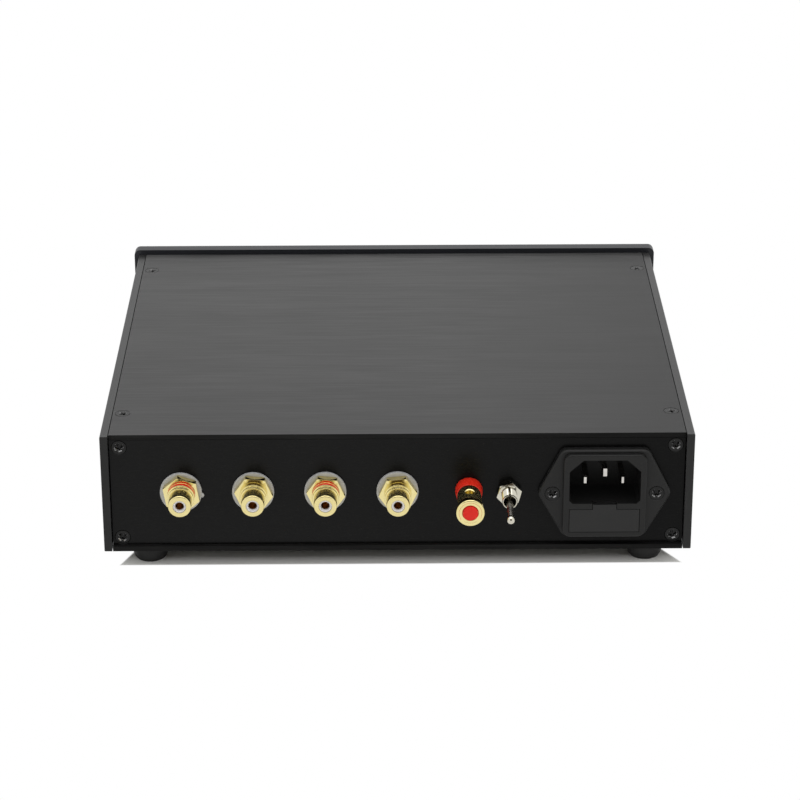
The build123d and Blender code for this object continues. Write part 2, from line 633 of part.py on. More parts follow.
# ---------------------------------------------------------------- phono jacks
def rca_shell(turn, ringed):
    """Shell of one jack, from the threaded stud behind the panel to the barrel's round end."""
    profile = lathe(
        (0, -JACK_STUD_LENGTH),
        (JACK_STUD_RADIUS, -JACK_STUD_LENGTH),
        (JACK_STUD_RADIUS, JACK_COLLAR_START),
        (JACK_COLLAR_RADIUS, JACK_COLLAR_START),
        (JACK_COLLAR_RADIUS, JACK_STEP_START - JACK_EDGE),
        (JACK_COLLAR_RADIUS - JACK_EDGE, JACK_STEP_START),
        (JACK_STEP_RADIUS, JACK_STEP_START),
        (JACK_STEP_RADIUS, JACK_BARREL_START),
        (JACK_BARREL_RADIUS, JACK_BARREL_START),
        (JACK_BARREL_RADIUS, JACK_REACH),
        (0, JACK_REACH),
    )
    tip = profile.edges().filter_by(GeomType.CIRCLE).group_by(Axis.Z)[-1]
    shell = fillet(tip, JACK_BARREL_ROUND)
    shell += chamfered_hexagon(JACK_HEX_FLATS, JACK_WASHER_HEIGHT, JACK_COLLAR_START, turn)
    if ringed:
        groove = JACK_COLLAR_RADIUS - JACK_RING_WALL
        low = JACK_COLLAR_START + JACK_RING_INSET
        shell -= tube(JACK_HEX_FLATS, groove, low, low + JACK_RING_WIDTH)
    low = -JACK_STUD_LENGTH - CUT_MARGIN
    return shell - disc(INSULATOR_RADIUS + THREAD_GAP, low, JACK_REACH + CUT_MARGIN)


def rca_red_ring():
    low = JACK_COLLAR_START + JACK_RING_INSET + FACE_GAP
    high = low + JACK_RING_WIDTH - 2 * FACE_GAP
    return tube(JACK_COLLAR_RADIUS, JACK_COLLAR_RADIUS - JACK_RING_WALL + FACE_GAP, low, high)


def rca_outer_washer():
    """Insulating washer with a shoulder that centres the jack in the panel's hole."""
    flange = disc(JACK_WASHER_RADIUS, 0, JACK_WASHER_HEIGHT - FACE_GAP)
    flange = fillet(flange.edges().group_by(Axis.Z)[-1], JACK_WASHER_ROUND)
    shoulder = disc(JACK_SHOULDER_RADIUS, -JACK_SHOULDER_DEPTH, 0)
    bore = disc(JACK_STUD_RADIUS + THREAD_GAP, -PANEL_THICKNESS, JACK_WASHER_HEIGHT)
    return flange + shoulder - bore


def stack(height, start):
    """Low and high end of a part that is clamped on the stud, start mm behind the panel."""
    return -start - height, -start - FACE_GAP


def rca_inner_washer():
    low, high = stack(JACK_INNER_WASHER_HEIGHT, PANEL_THICKNESS)
    return tube(JACK_INNER_WASHER_RADIUS, JACK_STUD_RADIUS + THREAD_GAP, low, high)


def rca_solder_tag():
    low, high = stack(JACK_TAG_HEIGHT, PANEL_THICKNESS + JACK_INNER_WASHER_HEIGHT)
    tongue = slab(JACK_TAG_WIDTH, JACK_TAG_REACH, low, high, y=-JACK_TAG_REACH / 2)
    bore = disc(JACK_STUD_RADIUS + THREAD_GAP, low - CUT_MARGIN, high + CUT_MARGIN)
    return disc(JACK_TAG_RADIUS, low, high) + tongue - bore


def rca_nut():
    behind = PANEL_THICKNESS + JACK_INNER_WASHER_HEIGHT + JACK_TAG_HEIGHT
    low, high = stack(JACK_NUT_HEIGHT, behind)
    return nut(JACK_NUT_FLATS, JACK_STUD_RADIUS + THREAD_GAP, low, high)


def rca_insulator():
    """White sleeve round the centre contact, with a lip and a dished mouth at its front."""
    inner = CONTACT_RADIUS + THREAD_GAP
    lip = JACK_REACH - INSULATOR_LIP
    front = JACK_REACH - FACE_GAP
    return lathe(
        (inner, -JACK_STUD_LENGTH),
        (INSULATOR_RADIUS, -JACK_STUD_LENGTH),
        (INSULATOR_RADIUS, front),
        (CONTACT_BORE + INSULATOR_DISH, front),
        (CONTACT_BORE, front - INSULATOR_DISH),
        (CONTACT_BORE, lip),
        (inner, lip),
    )


def rca_contact():
    """Centre contact: a blind tube for the plug's pin and a solder tail behind it."""
    front = JACK_REACH - INSULATOR_LIP - FACE_GAP
    floor = JACK_REACH - CONTACT_BORE_DEPTH
    return lathe(
        (0, -JACK_TAIL_REACH),
        (CONTACT_TAIL_RADIUS, -JACK_TAIL_REACH),
        (CONTACT_TAIL_RADIUS, -JACK_STUD_LENGTH),
        (CONTACT_RADIUS, -JACK_STUD_LENGTH),
        (CONTACT_RADIUS, front),
        (CONTACT_BORE, front),
        (CONTACT_BORE, floor),
        (0, floor),
    )


# ---------------------------------------------------------------- ground post
POST_BODY_START = POST_BASE_LENGTH + FACE_GAP
POST_BODY_END = POST_BASE_LENGTH + POST_BODY_LENGTH
POST_HOLE_REACH = POST_BASE_LENGTH + POST_HOLE_OFFSET
POST_STEM_TIP = POST_HOLE_REACH + POST_HOLE_RADIUS + 2 * FACE_GAP - POST_STEM_TRAVEL


def ground_post_base():
    """Insulating base outside the panel and its washer inside."""
    bore = POST_STUD_RADIUS + THREAD_GAP
    base = disc(POST_BASE_RADIUS, 0, POST_BASE_LENGTH)
    rim = base.edges().group_by(Axis.Z)[-1]
    base = chamfer(rim, POST_BASE_TAPER_LENGTH, POST_BASE_TAPER)
    base -= disc(bore, -CUT_MARGIN, POST_BASE_LENGTH + CUT_MARGIN)
    low, high = stack(POST_INNER_WASHER_HEIGHT, PANEL_THICKNESS)
    return group(base, tube(POST_INNER_WASHER_RADIUS, bore, low, high))


def ground_post_body():
    """Fixed metal body with the cross hole for a bare wire, and its stud."""
    body = disc(POST_BODY_RADIUS, POST_BODY_START, POST_BODY_END)
    body = chamfer(body.edges().filter_by(GeomType.CIRCLE), POST_HOLE_CHAMFER)
    body += disc(POST_STUD_RADIUS, -POST_STUD_LENGTH, POST_BODY_START + CUT_MARGIN)
    bore = POST_STEM_RADIUS + RUNNING_GAP
    body -= disc(bore, POST_STEM_TIP - 2 * FACE_GAP, POST_BODY_END + CUT_MARGIN)
    drill = Cylinder(POST_HOLE_RADIUS, 4 * POST_BODY_RADIUS, rotation=(90, 0, 0))
    return body - Pos(0, 0, POST_HOLE_REACH) * drill


def ground_post_washer():
    low = POST_BODY_END + FACE_GAP
    return tube(POST_WASHER_RADIUS, POST_STEM_RADIUS + RUNNING_GAP, low, low + POST_WASHER_HEIGHT)


def ground_post_knob():
    """Screw knob: its stem closes the cross hole when the knob is down."""
    head = disc(POST_KNOB_RADIUS, POST_KNOB_START, POST_REACH)
    head = fillet(head.edges().group_by(Axis.Z)[-1], POST_KNOB_ROUND)
    knob = head + disc(POST_STEM_RADIUS, POST_STEM_TIP, POST_KNOB_START)
    floor = POST_REACH - POST_INSERT_HEIGHT
    return knob - disc(POST_INSERT_RADIUS + FACE_GAP, floor, POST_REACH + CUT_MARGIN)


def ground_post_insert():
    low = POST_REACH - POST_INSERT_HEIGHT + FACE_GAP
    insert = disc(POST_INSERT_RADIUS, low, POST_REACH + POST_INSERT_PROUD)
    return fillet(insert.edges().group_by(Axis.Z)[-1], POST_INSERT_PROUD / 2)


def ground_post_nut():
    low, high = stack(POST_NUT_HEIGHT, PANEL_THICKNESS + POST_INNER_WASHER_HEIGHT)
    return nut(POST_NUT_FLATS, POST_STUD_RADIUS + THREAD_GAP, low, high)


# ---------------------------------------------------------------- toggle switch
TOGGLE_ROOT = -PANEL_THICKNESS - TOGGLE_INNER_NUT_HEIGHT - 2 * FACE_GAP
TOGGLE_PIVOT_LENGTH = 2 * (TOGGLE_BUSH_RADIUS - TOGGLE_PIVOT_WALL)


def toggle_bushing():
    """Threaded bushing: a bore for the pivot ball that opens into a wide mouth."""
    throat = TOGGLE_BALL_RADIUS + RUNNING_GAP
    throat_end = TOGGLE_PIVOT_REACH + TOGGLE_BALL_RADIUS / 2
    bushing = disc(TOGGLE_BUSH_RADIUS, TOGGLE_ROOT, TOGGLE_BUSH_REACH)
    bushing -= lathe(
        (0, TOGGLE_ROOT - CUT_MARGIN),
        (throat, TOGGLE_ROOT - CUT_MARGIN),
        (throat, throat_end),
        (TOGGLE_MOUTH_RADIUS, TOGGLE_BUSH_REACH),
        (TOGGLE_MOUTH_RADIUS, TOGGLE_BUSH_REACH + CUT_MARGIN),
        (0, TOGGLE_BUSH_REACH + CUT_MARGIN),
    )
    length = TOGGLE_PIVOT_LENGTH + 2 * FACE_GAP
    cross = Cylinder(TOGGLE_PIVOT_RADIUS + RUNNING_GAP, length, rotation=(0, 90, 0))
    bushing -= Pos(0, 0, TOGGLE_PIVOT_REACH) * cross
    keyway = slab(TOGGLE_KEYWAY_WIDTH, 2 * TOGGLE_KEYWAY_DEPTH, 0, TOGGLE_BUSH_REACH + CUT_MARGIN)
    return bushing - Pos(0, TOGGLE_BUSH_RADIUS, 0) * keyway


def toggle_lever():
    """Lever about its pivot ball, tilted to its lower position."""
    head_start = TOGGLE_LEVER_LENGTH - TOGGLE_LEVER_HEAD
    shaft = lathe(
        (0, -TOGGLE_TAIL_LENGTH),
        (TOGGLE_TAIL_RADIUS, -TOGGLE_TAIL_LENGTH),
        (TOGGLE_TAIL_RADIUS, 0),
        (TOGGLE_LEVER_ROOT_RADIUS, 0),
        (TOGGLE_LEVER_NECK_RADIUS, head_start),
        (TOGGLE_LEVER_END_RADIUS, TOGGLE_LEVER_LENGTH),
        (0, TOGGLE_LEVER_LENGTH),
    )
    lever = shaft + Sphere(TOGGLE_BALL_RADIUS)
    lever += Cylinder(TOGGLE_PIVOT_RADIUS, TOGGLE_PIVOT_LENGTH, rotation=(0, 90, 0))
    lever += Pos(0, 0, TOGGLE_LEVER_LENGTH) * Sphere(TOGGLE_LEVER_END_RADIUS)
    return Pos(0, 0, TOGGLE_PIVOT_REACH) * Rot(TOGGLE_TILT, 0, 0) * lever


def toggle_nuts():
    """Outer nut on the lock washer and inner nut behind the panel."""
    bore = TOGGLE_BUSH_RADIUS + THREAD_GAP
    low = TOGGLE_LOCK_HEIGHT + FACE_GAP
    outer = nut(TOGGLE_NUT_FLATS, bore, low, low + TOGGLE_NUT_HEIGHT, TOGGLE_NUT_TURN)
    inner = nut(TOGGLE_NUT_FLATS, bore, *stack(TOGGLE_INNER_NUT_HEIGHT, PANEL_THICKNESS))
    return group(outer, inner)


def toggle_lock_washer():
    return tube(TOGGLE_LOCK_RADIUS, TOGGLE_BUSH_RADIUS + THREAD_GAP, FACE_GAP, TOGGLE_LOCK_HEIGHT)


def toggle_body():
    low = TOGGLE_ROOT - TOGGLE_BODY_DEPTH
    return slab(TOGGLE_BODY_WIDTH, TOGGLE_BODY_HEIGHT, low, TOGGLE_ROOT - FACE_GAP)


def toggle_terminals():
    high = TOGGLE_ROOT - TOGGLE_BODY_DEPTH - FACE_GAP
    pins = []
    for column in range(TOGGLE_PIN_COLUMNS):
        for row in range(TOGGLE_PIN_ROWS):
            x = (column - (TOGGLE_PIN_COLUMNS - 1) / 2) * TOGGLE_PIN_PITCH
            y = (row - (TOGGLE_PIN_ROWS - 1) / 2) * TOGGLE_PIN_PITCH
            low = high - TOGGLE_PIN_LENGTH
            pins.append(slab(TOGGLE_PIN_WIDTH, TOGGLE_PIN_THICKNESS, low, high, x, y))
    return group(*pins)


# ---------------------------------------------------------------- mains inlet
def inlet_body_height():
    return BLOCK_TOP - BLOCK_BOTTOM - (BLOCK_WIDTH - INLET_BODY_WIDTH)


def inlet_body_middle():
    return (BLOCK_TOP + BLOCK_BOTTOM) / 2


def inlet_screw_places():
    half = INLET_SCREW_PITCH / 2
    return [rear_at(INLET_X, MID_Z) * Pos(side * half, 0, 0) for side in SIDES]


def inlet_recess():
    """Outline of the plug's recess: wide, with its two upper corners cut off."""
    return make_face(
        Polyline(
            (-RECESS_HALF_WIDTH + RECESS_LOWER_CHAMFER, RECESS_BOTTOM),
            (RECESS_HALF_WIDTH - RECESS_LOWER_CHAMFER, RECESS_BOTTOM),
            (RECESS_HALF_WIDTH, RECESS_BOTTOM + RECESS_LOWER_CHAMFER),
            (RECESS_HALF_WIDTH, RECESS_TOP - RECESS_CHAMFER_Y),
            (RECESS_HALF_WIDTH - RECESS_CHAMFER_X, RECESS_TOP),
            (-RECESS_HALF_WIDTH + RECESS_CHAMFER_X, RECESS_TOP),
            (-RECESS_HALF_WIDTH, RECESS_TOP - RECESS_CHAMFER_Y),
            (-RECESS_HALF_WIDTH, RECESS_BOTTOM + RECESS_LOWER_CHAMFER),
            close=True,
        )
    )


def inlet_pin_specs():
    """Middle of each blade and how far its tip reaches from the panel's outer face."""
    return (
        (-PIN_HALF_PITCH, PIN_ROW_LOW, PIN_LIVE_REACH),
        (PIN_HALF_PITCH, PIN_ROW_LOW, PIN_LIVE_REACH),
        (0.0, PIN_ROW_HIGH, PIN_EARTH_REACH),
    )


def inlet_housing():
    flange_outline = make_face(
        Polyline(
            (FLANGE_TOP_HALF, FLANGE_HALF_HEIGHT),
            (-FLANGE_TOP_HALF, FLANGE_HALF_HEIGHT),
            (-FLANGE_TIP_HALF, 0),
            (-FLANGE_BOTTOM_HALF, -FLANGE_HALF_HEIGHT),
            (FLANGE_BOTTOM_HALF, -FLANGE_HALF_HEIGHT),
            (FLANGE_TIP_HALF, 0),
            close=True,
        )
    )
    flange_outline = fillet(flange_outline.vertices(), FLANGE_CORNER)
    flange = extrude(flange_outline, FLANGE_THICKNESS)
    flange = chamfer(flange.edges().group_by(Axis.Z)[-1], FLANGE_BEVEL)
    block_height = BLOCK_TOP - BLOCK_BOTTOM
    block = Pos(0, inlet_body_middle(), 0) * extrude(
        RectangleRounded(BLOCK_WIDTH, block_height, BLOCK_CORNER), BLOCK_REACH
    )
    block = fillet(block.edges().group_by(Axis.Z)[-1], FLANGE_BEVEL)
    body = slab(
        INLET_BODY_WIDTH, inlet_body_height(), -INLET_BODY_DEPTH, CUT_MARGIN, y=inlet_body_middle()
    )
    housing = flange + block + body
    depth = SOCKET_DEPTH + BLOCK_REACH + CUT_MARGIN
    housing -= Pos(0, 0, -SOCKET_DEPTH) * extrude(inlet_recess(), depth)
    housing -= drawer_cavity()
    for x, y, _ in inlet_pin_specs():
        low = -INLET_BODY_DEPTH - CUT_MARGIN
        housing -= slab(PIN_WIDTH + 2 * FACE_GAP, PIN_HEIGHT + 2 * FACE_GAP, low, -SOCKET_DEPTH, x, y)
    for side in SIDES:
        x = side * INLET_SCREW_PITCH / 2
        housing -= Pos(x, 0, FLANGE_THICKNESS) * flat_screw_hole(FLANGE_THICKNESS)
    return housing


def drawer_cavity():
    low = BLOCK_REACH - DRAWER_DEPTH - DRAWER_GAP
    high = BLOCK_REACH + CUT_MARGIN
    middle = (DRAWER_LOW + DRAWER_HIGH) / 2
    height = DRAWER_HIGH - DRAWER_LOW + 2 * DRAWER_GAP
    cavity = slab(DRAWER_WIDTH + 2 * DRAWER_GAP, height, low, high, y=middle)
    notch_height = RECESS_BOTTOM - DRAWER_HIGH + DRAWER_GAP
    notch = slab(
        DRAWER_TAB_WIDTH + 2 * DRAWER_GAP,
        notch_height,
        BLOCK_REACH - DRAWER_TAB_THICKNESS - DRAWER_GAP,
        high,
        y=DRAWER_HIGH + notch_height / 2,
    )
    return cavity + notch


def fuse_setbacks():
    return (FUSE_FIRST_SETBACK, FUSE_FIRST_SETBACK + FUSE_PITCH)


def fuse_drawer():
    """Drawer with a face, a finger tab and a pocket for each of the two fuses."""
    middle = (DRAWER_LOW + DRAWER_HIGH) / 2
    height = DRAWER_HIGH - DRAWER_LOW
    face_low = BLOCK_REACH - DRAWER_FACE_THICKNESS
    drawer = slab(DRAWER_WIDTH, height, face_low, BLOCK_REACH, y=middle)
    tab_height = DRAWER_TAB_HIGH - DRAWER_HIGH + CUT_MARGIN
    drawer += slab(
        DRAWER_TAB_WIDTH,
        tab_height,
        BLOCK_REACH - DRAWER_TAB_THICKNESS,
        BLOCK_REACH,
        y=DRAWER_TAB_HIGH - tab_height / 2,
    )
    tray_width = DRAWER_WIDTH - 2 * DRAWER_GAP
    tray_height = height - 2 * DRAWER_GAP
    drawer += slab(tray_width, tray_height, BLOCK_REACH - DRAWER_DEPTH, face_low, y=middle)
    floor = DRAWER_LOW + DRAWER_GAP + POCKET_FLOOR
    pocket_height = DRAWER_HIGH - floor + CUT_MARGIN
    pocket_depth = 2 * (FUSE_RADIUS + FUSE_GAP)
    for setback in fuse_setbacks():
        centre = BLOCK_REACH - setback
        drawer -= slab(
            FUSE_LENGTH + 2 * FUSE_GAP,
            pocket_height,
            centre - pocket_depth / 2,
            centre + pocket_depth / 2,
            y=floor + pocket_height / 2,
        )
    return drawer


def fuses():
    y = DRAWER_LOW + DRAWER_GAP + POCKET_FLOOR + FUSE_RADIUS + FACE_GAP
    tubes = []
    for setback in fuse_setbacks():
        fuse = Cylinder(FUSE_RADIUS, FUSE_LENGTH, rotation=(0, 90, 0))
        tubes.append(Pos(0, y, BLOCK_REACH - setback) * fuse)
    return group(*tubes)


def inlet_pins():
    blades = []
    for x, y, reach in inlet_pin_specs():
        low = -INLET_BODY_DEPTH - PIN_TAIL
        blade = slab(PIN_WIDTH, PIN_HEIGHT, low, reach, x, y)
        blades.append(chamfer(blade.edges().group_by(Axis.Z)[-1], PIN_WIDTH / 5))
    return group(*blades)


def inlet_screw():
    length = FLANGE_THICKNESS + PANEL_THICKNESS + M3_NUT_HEIGHT + CUT_MARGIN
    return Pos(0, 0, FLANGE_THICKNESS) * flat_screw(length)


def inlet_nut():
    return nut(M3_NUT_FLATS, SCREW_RADIUS + THREAD_GAP, *stack(M3_NUT_HEIGHT, PANEL_THICKNESS))


# ---------------------------------------------------------------- front controls
def button_bezel():
    barrel = disc(BEZEL_BARREL_RADIUS, -BEZEL_DEPTH, FACE_GAP)
    flange = disc(BEZEL_FLANGE_RADIUS, FACE_GAP, BEZEL_FLANGE_HEIGHT)
    flange = fillet(flange.edges().group_by(Axis.Z)[-1], BEZEL_FLANGE_HEIGHT / 3)
    bore = BUTTON_CAP_RADIUS + RUNNING_GAP
    return barrel + flange - disc(bore, -BEZEL_DEPTH - CUT_MARGIN, BEZEL_FLANGE_HEIGHT + CUT_MARGIN)


def button_cap():
    low = BUTTON_PROUD - BUTTON_CAP_LENGTH
    cap = disc(BUTTON_CAP_RADIUS, low, BUTTON_PROUD)
    cap = fillet(cap.edges().group_by(Axis.Z)[-1], BUTTON_CAP_ROUND)
    return cap + disc(BUTTON_STEM_RADIUS, low - BUTTON_STEM_LENGTH, low)


def button_nut():
    return nut(
        BUTTON_NUT_FLATS, BEZEL_BARREL_RADIUS + THREAD_GAP, *stack(BUTTON_NUT_HEIGHT, FRONT_THICKNESS)
    )


def button_switch():
    """Latching switch behind the bezel, with four tabs."""
    high = -BEZEL_DEPTH - FACE_GAP
    low = high - SWITCH_LENGTH
    stem_end = BUTTON_PROUD - BUTTON_CAP_LENGTH - BUTTON_STEM_LENGTH - BUTTON_TRAVEL
    body = disc(SWITCH_RADIUS, low, high)
    body -= disc(BUTTON_STEM_RADIUS + RUNNING_GAP, stem_end - CUT_MARGIN, high + CUT_MARGIN)
    tabs = []
    for sx in SIDES:
        for sy in SIDES:
            tab_low = low - FACE_GAP - SWITCH_TAB_LENGTH
            x = sx * SWITCH_TAB_OFFSET
            y = sy * SWITCH_TAB_OFFSET
            tabs.append(slab(SWITCH_TAB_THICKNESS, SWITCH_TAB_WIDTH, tab_low, low - FACE_GAP, x, y))
    return group(body, *tabs)


def led_bezel():
    barrel = disc(LED_BARREL_RADIUS, -LED_BARREL_LENGTH, FACE_GAP)
    flange = disc(LED_BEZEL_RADIUS, FACE_GAP, LED_BEZEL_HEIGHT)
    flange = fillet(flange.edges().group_by(Axis.Z)[-1], LED_BEZEL_HEIGHT / 3)
    bore = disc(LED_RADIUS + THREAD_GAP, -LED_BARREL_LENGTH - CUT_MARGIN, LED_BEZEL_HEIGHT + CUT_MARGIN)
    return barrel + flange - bore


def power_led():
    dome_z = LED_PROUD - LED_RADIUS / 2
    body = disc(LED_RADIUS, LED_PROUD - LED_LENGTH, dome_z)
    return body + Pos(0, 0, dome_z) * scale(Sphere(LED_RADIUS), (1, 1, 0.5))


# ---------------------------------------------------------------- circuit board
def main_board():
    board = slab(BOARD_WIDTH, BOARD_DEPTH, BOARD_Z + FACE_GAP, BOARD_TOP_Z, BOARD_X, BOARD_Y)
    hole = SCREW_RADIUS + HOLE_GAP
    for x, y in BOARD_POST_XYS:
        board -= Pos(x, y, 0) * disc(hole, BOARD_Z - CUT_MARGIN, BOARD_TOP_Z + CUT_MARGIN)
    return board


def board_standoffs():
    post = nut(STANDOFF_FLATS, SCREW_RADIUS + THREAD_GAP, FLOOR_Z + FACE_GAP, BOARD_Z)
    return group(*[Pos(x, y, 0) * post for x, y in BOARD_POST_XYS])


def board_screws():
    """A pan-head screw above and a countersunk screw below each standoff."""
    upper = pan_screw(PAN_HEAD_RADIUS, PAN_HEAD_HEIGHT, SCREW_RADIUS, BOARD_SCREW_LENGTH)
    lower = Rot(180, 0, 0) * flat_screw(BOARD_SCREW_LENGTH)
    screws = []
    for x, y in BOARD_POST_XYS:
        screws.append(Pos(x, y, BOARD_TOP_Z + FACE_GAP) * upper)
        screws.append(Pos(x, y, BODY_Z) * lower)
    return group(*screws)


def row_xs(count, pitch):
    """Middles of a row of parts, centred on the board."""
    return [BOARD_X + (i - (count - 1) / 2) * pitch for i in range(count)]


def filter_capacitors():
    can = disc(CAN_RADIUS, 0, CAN_HEIGHT)
    can = fillet(can.edges().group_by(Axis.Z)[-1], CAN_ROUND)
    y = BOARD_FRONT_Y + BOARD_ROW_POWER
    z = BOARD_TOP_Z + FACE_GAP
    return group(*[Pos(x, y, z) * can for x in row_xs(CAN_COUNT, CAN_PITCH)])


def film_capacitors():
    y = BOARD_REAR_Y - FILM_SETBACK
    low = BOARD_TOP_Z + FACE_GAP
    high = low + FILM_HEIGHT
    xs = row_xs(FILM_COUNT, FILM_PITCH)
    return group(*[slab(FILM_WIDTH, FILM_DEPTH, low, high, x, y) for x in xs])


def op_amps():
    """Each chip in its socket."""
    y = BOARD_REAR_Y - CHIP_SETBACK
    low = BOARD_TOP_Z + FACE_GAP
    seat = low + SOCKET_HEIGHT
    pieces = []
    for x in row_xs(CHIP_COUNT, CHIP_PITCH):
        pieces.append(slab(CHIP_WIDTH, CHIP_DEPTH + 2 * SOCKET_MARGIN, low, seat, x, y))
        pieces.append(slab(CHIP_WIDTH, CHIP_DEPTH, seat + FACE_GAP, seat + CHIP_HEIGHT, x, y))
    return group(*pieces)


def power_devices():
    """Bridge rectifier and the two voltage regulators that lean on the heat sinks."""
    low = BOARD_TOP_Z + FACE_GAP
    y = BOARD_FRONT_Y + BOARD_ROW_POWER + RECTIFIER_OFFSET
    pieces = [slab(RECTIFIER_WIDTH, RECTIFIER_DEPTH, low, low + RECTIFIER_HEIGHT, BOARD_X, y)]
    sink_face = BOARD_FRONT_Y + BOARD_ROW_POWER + SINK_OFFSET - SINK_WEB / 2 - FACE_GAP
    for x in row_xs(SINK_COUNT, SINK_PITCH):
        y = sink_face - REGULATOR_DEPTH / 2
        pieces.append(slab(REGULATOR_WIDTH, REGULATOR_DEPTH, low, low + REGULATOR_HEIGHT, x, y))
    return group(*pieces)


def heat_sinks():
    low = BOARD_TOP_Z + FACE_GAP
    sink = slab(SINK_WIDTH, SINK_WEB, low, low + SINK_HEIGHT)
    pitch = (SINK_WIDTH - SINK_FIN_WIDTH) / (SINK_FIN_COUNT - 1)
    for i in range(SINK_FIN_COUNT):
        x = -SINK_WIDTH / 2 + SINK_FIN_WIDTH / 2 + i * pitch
        sink += slab(SINK_FIN_WIDTH, SINK_FIN_LENGTH, low, low + SINK_HEIGHT, x, SINK_FIN_LENGTH / 2)
    y = BOARD_FRONT_Y + BOARD_ROW_POWER + SINK_OFFSET
    return group(*[Pos(x, y, 0) * sink for x in row_xs(SINK_COUNT, SINK_PITCH)])


TERMINAL_Y = BOARD_REAR_Y - TERMINAL_INSET - TERMINAL_DEPTH / 2
SUPPLY_TERMINAL_X = BOARD_X - BOARD_WIDTH / 2 + TERMINAL_INSET + TERMINAL_DEPTH / 2


def terminal_blocks():
    """One block under each jack, and one at the board's side for the transformer."""
    low = BOARD_TOP_Z + FACE_GAP
    high = low + TERMINAL_HEIGHT
    blocks = [slab(TERMINAL_WIDTH, TERMINAL_DEPTH, low, high, x, TERMINAL_Y) for x in JACK_XS]
    blocks.append(slab(TERMINAL_DEPTH, TERMINAL_WIDTH, low, high, SUPPLY_TERMINAL_X, TRANSFORMER_Y))
    return group(*blocks)


# ---------------------------------------------------------------- transformer
def transformer():
    ring = tube(TRANSFORMER_RADIUS, TRANSFORMER_CORE, TRANSFORMER_Z + FACE_GAP, TRANSFORMER_TOP_Z)
    return fillet(ring.edges().filter_by(GeomType.CIRCLE).group_by(SortBy.RADIUS)[-1], TRANSFORMER_ROUND)


def transformer_reach(offset):
    """Where a lead that lies beside the middle line meets the winding."""
    return sqrt(TRANSFORMER_RADIUS**2 - offset**2) + WIRE_GAP


def transformer_fixings():
    """Two rubber pads, the dished washer, the bolt and its nut."""
    hole = BOLT_RADIUS + HOLE_GAP
    pad_top = TRANSFORMER_TOP_Z + FACE_GAP + PAD_HEIGHT
    dish_top = pad_top + FACE_GAP + DISH_HEIGHT
    nut_low = dish_top + FACE_GAP
    lower_pad = tube(PAD_RADIUS, hole, FLOOR_Z + FACE_GAP, TRANSFORMER_Z)
    upper_pad = tube(DISH_RADIUS, hole, TRANSFORMER_TOP_Z + FACE_GAP, pad_top)
    dish = tube(DISH_RADIUS, hole, pad_top + FACE_GAP, dish_top)
    bolt_length = nut_low + BOLT_NUT_HEIGHT + BOLT_SPARE - BODY_Z
    bolt = pan_screw(BOLT_HEAD_RADIUS, BOLT_HEAD_HEIGHT, BOLT_RADIUS, bolt_length)
    bolt = Pos(0, 0, BODY_Z - FACE_GAP) * Rot(180, 0, 0) * bolt
    top_nut = nut(BOLT_NUT_FLATS, BOLT_RADIUS + THREAD_GAP, nut_low, nut_low + BOLT_NUT_HEIGHT)
    return group(lower_pad, upper_pad, dish, bolt, top_nut)


# ---------------------------------------------------------------- wiring
def signal_wires():
    """Leads of the jacks, the ground post and the selector switch to the board."""
    runs = []
    block_top = BOARD_TOP_Z + FACE_GAP + TERMINAL_HEIGHT + WIRE_GAP
    tail_y = PANEL_Y - JACK_TAIL_REACH - WIRE_GAP
    for x in JACK_XS:
        runs.append(wire((x, tail_y, JACK_Z), (x, TERMINAL_Y, JACK_Z), (x, TERMINAL_Y, block_top)))
    ground_x = JACK_XS[-1] - TERMINAL_WIDTH / 2 + 2 * WIRE_RADIUS
    runs.append(
        wire(
            (POST_X, PANEL_Y - POST_STUD_LENGTH - WIRE_GAP, JACK_Z),
            (POST_X, TERMINAL_Y, JACK_Z),
            (ground_x, TERMINAL_Y, JACK_Z),
            (ground_x, TERMINAL_Y, block_top),
        )
    )
    pin_end_y = PANEL_Y + TOGGLE_ROOT - TOGGLE_BODY_DEPTH - FACE_GAP - TOGGLE_PIN_LENGTH - WIRE_GAP
    lead_y = TERMINAL_Y - SELECTOR_LEAD_SETBACK
    for i, side in enumerate((-1, 1)):
        pin_x = TOGGLE_X + side * TOGGLE_PIN_PITCH / 2
        pin_z = MID_Z + side * TOGGLE_PIN_PITCH * (TOGGLE_PIN_ROWS - 1) / 2
        land_x = BOARD_X - BOARD_WIDTH / 2 + SELECTOR_LEAD_INSET * (i + 1)
        runs.append(
            wire(
                (pin_x, pin_end_y, pin_z),
                (pin_x, lead_y, pin_z),
                (land_x, lead_y, pin_z),
                (land_x, lead_y, BOARD_TOP_Z + WIRE_GAP),
            )
        )
    return group(*runs)


